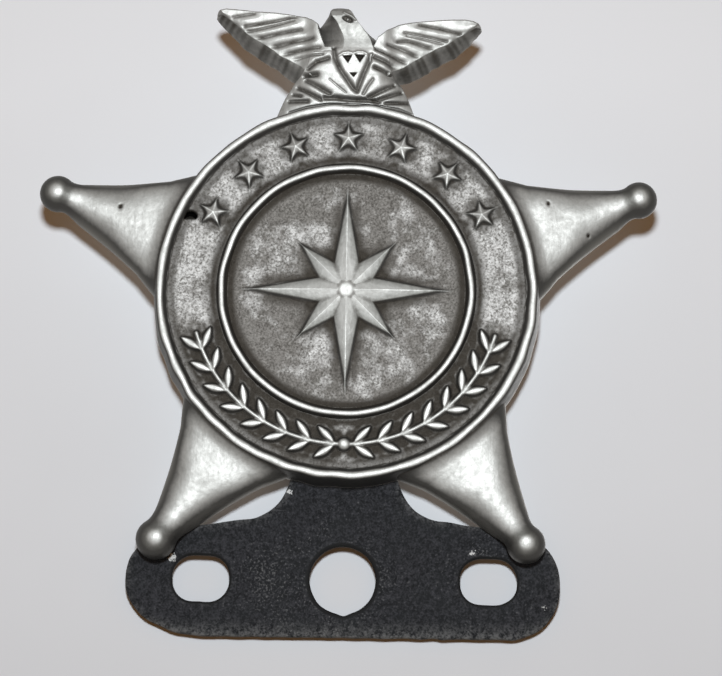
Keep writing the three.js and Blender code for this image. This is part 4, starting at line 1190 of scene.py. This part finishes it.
def bracketShell():
    # Sheet bracket: each edge is a rolled strip along its loop, and the two faces between the
    # edges are filled with triangles
    b = bracket
    faceLoops, parts = zip(*[rolledEdge(loop, order) for order, loop in enumerate(bracketLoops())])
    parts = list(parts)
    gridX, gridY = np.meshgrid(np.arange(-48, 48, b["fillStep"]), np.arange(-13, 58, b["fillStep"] * 0.87))
    gridX = gridX + (np.arange(len(gridX)) % 2 * b["fillStep"] / 2)[:, None]
    inner = np.c_[gridX.ravel(), gridY.ravel()]
    keep = insideLoop(inner, faceLoops[0])
    for loop in faceLoops[1:]:
        keep &= ~insideLoop(inner, loop)
    for loop in faceLoops:
        keep &= loopDistance(inner, loop) > b["fillGap"]
    flat = np.vstack([*faceLoops, inner[keep]])
    begins = np.cumsum([0] + [len(loop) for loop in faceLoops])
    rings = [list(range(begin, end)) for begin, end in zip(begins[:-1], begins[1:])]
    filled = delaunay_2d_cdt([Vector(place) for place in flat], [], rings, 2, 1e-7)
    plan = np.array([tuple(place) for place in filled[0]])
    triangles = np.array(filled[2])

    distances = [loopDistance(plan, loop) for loop in faceLoops]
    # the front is a little uneven away from the edges, and worn along the bottom
    bend = b["bend"] * unevenness(plan[:, 0], plan[:, 1], 16, 70) * smoothStep(np.min(distances, axis=0) / 3)
    worn = 0.3 * np.exp(-distances[0] / 0.5) + 0.5 * smoothStep((-8.2 - plan[:, 1]) / 5)
    plain = np.zeros(len(plan))
    for z, faces in ((b["thickness"] + bend, triangles), (plain, triangles[:, ::-1])):
        parts.append(dict(points=np.c_[plan, z], faces=faces, worn=worn, edge=plain, rolled=plain))

    points = np.vstack([part["points"] for part in parts])
    offsets = np.cumsum([0] + [len(part["points"]) for part in parts])
    faceSets = [part["faces"] + offset for part, offset in zip(parts, offsets)]
    paints = {key: np.concatenate([part[key] for part in parts]) for key in ("worn", "edge", "rolled")}
    # pale specks lie thickest near the spots in the settings
    specks = sum(bell(np.hypot(points[:, 0] - x, points[:, 1] - y), size) for x, y, size in b["speckled"])
    paints["speckled"] = np.clip(specks, 0, 1)
    return makeShell(toFrame(*points.T), faceSets, paints)


def addBracket():
    piece = addPiece("bracket_sheet", [bracketShell()], blackPaint, "plate_bracket")
    work = bmesh.new()
    work.from_mesh(piece.data)
    bmesh.ops.remove_doubles(work, verts=work.verts, dist=0.002 * millimetre)
    bmesh.ops.recalc_face_normals(work, faces=work.faces)
    work.to_mesh(piece.data)
    work.free()


addBracket()


screw = dict(
    radius=2.3, grip=3.6, headRadius=4.4, headHeight=2.7, domePower=0.8, tipChamfer=0.5, slotWidth=1.1,
    slotDepth=1.2, threadDepth=0.14, threadPitch=0.8, flatRadius=5.6, flatThickness=0.9, lockRadius=4.5,
    lockThickness=1.2, lockGap=0.9, lockLean=20, washerBore=2.6, clearance=0.02, segments=120, creaseAngle=40,
)


def addSteel(name, shell, node):
    addPiece(name, [shell], screwSteel, node, screw["creaseAngle"])


def turnedSection(section, turn, rise):
    # grid of a section in radius and height, turned about a screw's axis
    x, y = section[:, 0] * np.cos(turn), section[:, 0] * np.sin(turn) + rise
    return toFrame(x, y, section[:, 1] + 0 * x), *x.shape


def turnedScrew(rise):
    # the profile is turned about the screw's axis; a straight slot is cut by lowering the head's dome
    headFace = -screw["flatThickness"] - screw["lockThickness"]
    crown = headFace - screw["headHeight"]
    tip = backPlane + screw["grip"]
    swing = np.linspace(0.02, np.pi / 2, 44)
    domeHeight = headFace - screw["headHeight"] * np.cos(swing) ** screw["domePower"]
    radius, chamfer = screw["radius"], screw["tipChamfer"]
    shank = roundedPath([
        (screw["headRadius"], headFace, 0), (radius, headFace, 0.1), (radius, tip - chamfer, 0.1),
        (radius - chamfer, tip, 0.1), (0.1, tip, 0),
    ], 0.15, closed=False)
    threaded = (shank[:, 1] > 0.2) & (shank[:, 1] < tip - 0.6) & (shank[:, 0] > radius - 0.05)
    thread = screw["threadDepth"] * (1 - np.cos(2 * np.pi * shank[:, 1] / screw["threadPitch"]))
    shank[:, 0] -= np.where(threaded, thread, 0)
    profile = np.vstack([np.c_[screw["headRadius"] * np.sin(swing), domeHeight], shank[1:]])

    turn = fullTurn(screw["segments"])
    x, y = profile[:, :1] * np.cos(turn), profile[:, :1] * np.sin(turn)
    z = profile[:, 1:] + 0 * x
    slotFloor = crown + screw["slotDepth"]
    cut = smoothStep(0.5 - (np.abs(y) - screw["slotWidth"] / 2) / 0.12) * (z < headFace - 0.4)
    z = np.where(cut > 0, np.maximum(z, z * (1 - cut) + slotFloor * cut), z)
    # the slot is painted darker: dirt and painted shade
    return tubeShell(toFrame(x, y + rise, z), *x.shape, dict(hollow=cut))


def flatWasher(rise):
    bore, radius = screw["washerBore"], screw["flatRadius"]
    low, high = -screw["flatThickness"], -screw["clearance"]
    corners = [(bore, low, 0.12), (radius, low, 0.2), (radius, high, 0.12), (bore, high, 0.12)]
    turn = fullTurn(screw["segments"])[:, None]
    return ringShell(*turnedSection(roundedPath(corners, 0.25), turn, rise))


def lockWasher(rise):
    # split ring: the section goes nearly all the way round, and both ends lean
    bore, radius = screw["washerBore"], screw["lockRadius"]
    seat = -screw["flatThickness"]
    low, high = seat - screw["lockThickness"] + screw["clearance"], seat - screw["clearance"]
    corners = [(bore, low, 0.15), (radius, low, 0.15), (radius, high, 0.15), (bore, high, 0.15)]
    section = roundedPath(corners, 0.2)
    halfGap = screw["lockGap"] / 2 / radius
    turn = np.pi / 2 + np.linspace(halfGap, 2 * np.pi - halfGap, screw["segments"])[:, None]
    lean = np.radians(screw["lockLean"]) * (section[:, 1] - (seat + low) / 2) / radius
    return tubeShell(*turnedSection(section, turn + lean, rise))


for place, rise in zip(("lower", "upper"), bracket["screwRises"]):
    addSteel(f"{place}_screw_turned", turnedScrew(rise), f"{place}_screw")
    addSteel(f"{place}_flat_washer_ring", flatWasher(rise), f"{place}_flat_washer")
    addSteel(f"{place}_lock_washer_ring", lockWasher(rise), f"{place}_lock_washer")


# Pale backdrop close behind the object, soft light and camera

studio = dict(
    backdropGap=2.5, backdropSlope=0.085, backdropHalf=600, backdropColour=colour(240, 240, 242),
    backdropShadedLow=colour(221, 221, 223), backdropRoughness=0.8, backdropGloss=0.15, fadeFrom=0.14, fadeTo=0.32,
    ambient=0.14, ambientTint=(1.0, 0.5, 0.15, 1), room=0.68, white=(1.0, 1.0, 1.0, 1),
    keyLift=15.5, keyLight=dict(power=3.6, tint=(0.86, 0.94, 1.0), size=0.08, distance=0.66),
    fillFrom=(0.35, 0.93, 0.1), fillLight=dict(power=1.2, tint=(1, 1, 1), size=0.5, distance=0.8),
)


def addBackdrop():
    # a plane that leans away behind the object: its gap grows with height by the slope
    half = studio["backdropHalf"]
    height = np.array([-half, -half, half, half])
    behind = -studio["backdropGap"] - studio["backdropSlope"] * height
    corners = toFrame(np.array([-half, half, half, -half]), height, behind)
    mesh = bpy.data.meshes.new("backdrop")
    mesh.from_pydata(corners.tolist(), [], [(0, 1, 2, 3)])
    backdrop = bpy.data.objects.new("backdrop", mesh)
    bpy.context.scene.collection.objects.link(backdrop)
    material, tree, shader = newMaterial("pale_table")
    place = addNode(tree, "ShaderNodeTexCoord").outputs["Object"]
    rise = addNode(tree, "ShaderNodeSeparateXYZ", {"Vector": place}).outputs["Z"]
    # painted shade: the table is darker towards the bottom
    cloudy = added(tree, rise, noiseRange(tree, objectNoise(tree, 60, detail=3), -0.01, 0.01))
    tone = layer(tree, studio["backdropShadedLow"], studio["backdropColour"], cloudy, -0.02, 0.12)
    tree.links.new(tone, shader.inputs["Base Color"])
    shader.inputs["Roughness"].default_value = studio["backdropRoughness"]
    shader.inputs["Specular IOR Level"].default_value = studio["backdropGloss"]
    # away from the object it fades into the room's own tone, so that it has no edge
    away = addNode(tree, "ShaderNodeVectorMath", {0: place}, operation="LENGTH").outputs["Value"]
    roomTone = addNode(tree, "ShaderNodeEmission", {"Color": studio["white"], "Strength": studio["room"]})
    fade = ranged(tree, away, studio["fadeFrom"], studio["fadeTo"])
    faded = addNode(tree, "ShaderNodeMixShader", {0: fade, 1: shader.outputs["BSDF"], 2: roomTone.outputs[0]})
    # seen from the front alone, so that the object's back shows from behind
    clear = addNode(tree, "ShaderNodeBsdfTransparent").outputs[0]
    behindIt = addNode(tree, "ShaderNodeNewGeometry").outputs["Backfacing"]
    mix = addNode(tree, "ShaderNodeMixShader", {0: behindIt, 1: faded.outputs[0], 2: clear})
    tree.links.new(mix.outputs[0], tree.nodes["Material Output"].inputs["Surface"])
    mesh.materials.append(material)
    backdrop.visible_diffuse = False
    backdrop.visible_glossy = False
    backdrop.visible_shadow = False


# the photograph's view: azimuth 0.87, elevation -9.99 and roll 0.79 degrees, 600 mm away
photoView = dict(
    right=(0.99983, 0.01284, 0.0136), up=(-0.01116, -0.1737, 0.98474), place=(0.012298, -0.590821, -0.049541),
    focalPixels=2669.5, picturePixels=722, sensorWidth=36,
)


def addCamera():
    right, up = Vector(photoView["right"]).normalized(), Vector(photoView["up"])
    back = right.cross(up).normalized()
    up = back.cross(right)
    data = bpy.data.cameras.new("photo_camera")
    data.sensor_fit = "HORIZONTAL"
    data.sensor_width = photoView["sensorWidth"]
    data.lens = photoView["focalPixels"] / photoView["picturePixels"] * photoView["sensorWidth"]
    data.clip_start = 0.01
    data.clip_end = 20
    camera = bpy.data.objects.new("photo_camera", data)
    bpy.context.scene.collection.objects.link(camera)
    turned = Matrix((right, up, back)).transposed().to_4x4()
    camera.matrix_world = Matrix.Translation(photoView["place"]) @ turned
    bpy.context.scene.camera = camera
    return up, back


def addLamp(name, light, toLight):
    # a round lamp that faces the disc's centre
    data = bpy.data.lights.new(name, "AREA")
    data.shape = "DISK"
    data.size = light["size"]
    data.energy = light["power"]
    data.color = light["tint"]
    lamp = bpy.data.objects.new(name, data)
    bpy.context.scene.collection.objects.link(lamp)
    lamp.location = Vector((0, 0, discRise * millimetre)) + toLight * light["distance"]
    lamp.rotation_euler = toLight.to_track_quat("Z", "Y").to_euler()


def addLights(up, back):
    # The room is pale to the camera and in reflections, and its soft light is a little warm. The
    # key lamp stands just above the camera, and a fill lights the back.
    world = bpy.data.worlds.new("soft_room")
    bpy.context.scene.world = world
    world.use_nodes = True
    tree = world.node_tree
    ambient = tree.nodes["Background"]
    ambient.inputs["Color"].default_value = studio["ambientTint"]
    ambient.inputs["Strength"].default_value = studio["ambient"]
    room = addNode(tree, "ShaderNodeBackground", {"Color": studio["white"], "Strength": studio["room"]})
    path = addNode(tree, "ShaderNodeLightPath")
    seen = mathNode(tree, "MAXIMUM", path.outputs["Is Camera Ray"], path.outputs["Is Glossy Ray"])
    seen = mathNode(tree, "MAXIMUM", seen, path.outputs["Is Transmission Ray"])
    mix = addNode(tree, "ShaderNodeMixShader", {0: seen, 1: ambient.outputs[0], 2: room.outputs[0]})
    tree.links.new(mix.outputs[0], tree.nodes["World Output"].inputs["Surface"])
    lift = np.radians(studio["keyLift"])
    addLamp("key_light", studio["keyLight"], back * np.cos(lift) + up * np.sin(lift))
    addLamp("fill_light", studio["fillLight"], Vector(studio["fillFrom"]).normalized())


addBackdrop()
addLights(*addCamera())
bpy.context.scene.view_settings.view_transform = "Standard"
print("backdrop, camera and lights made")
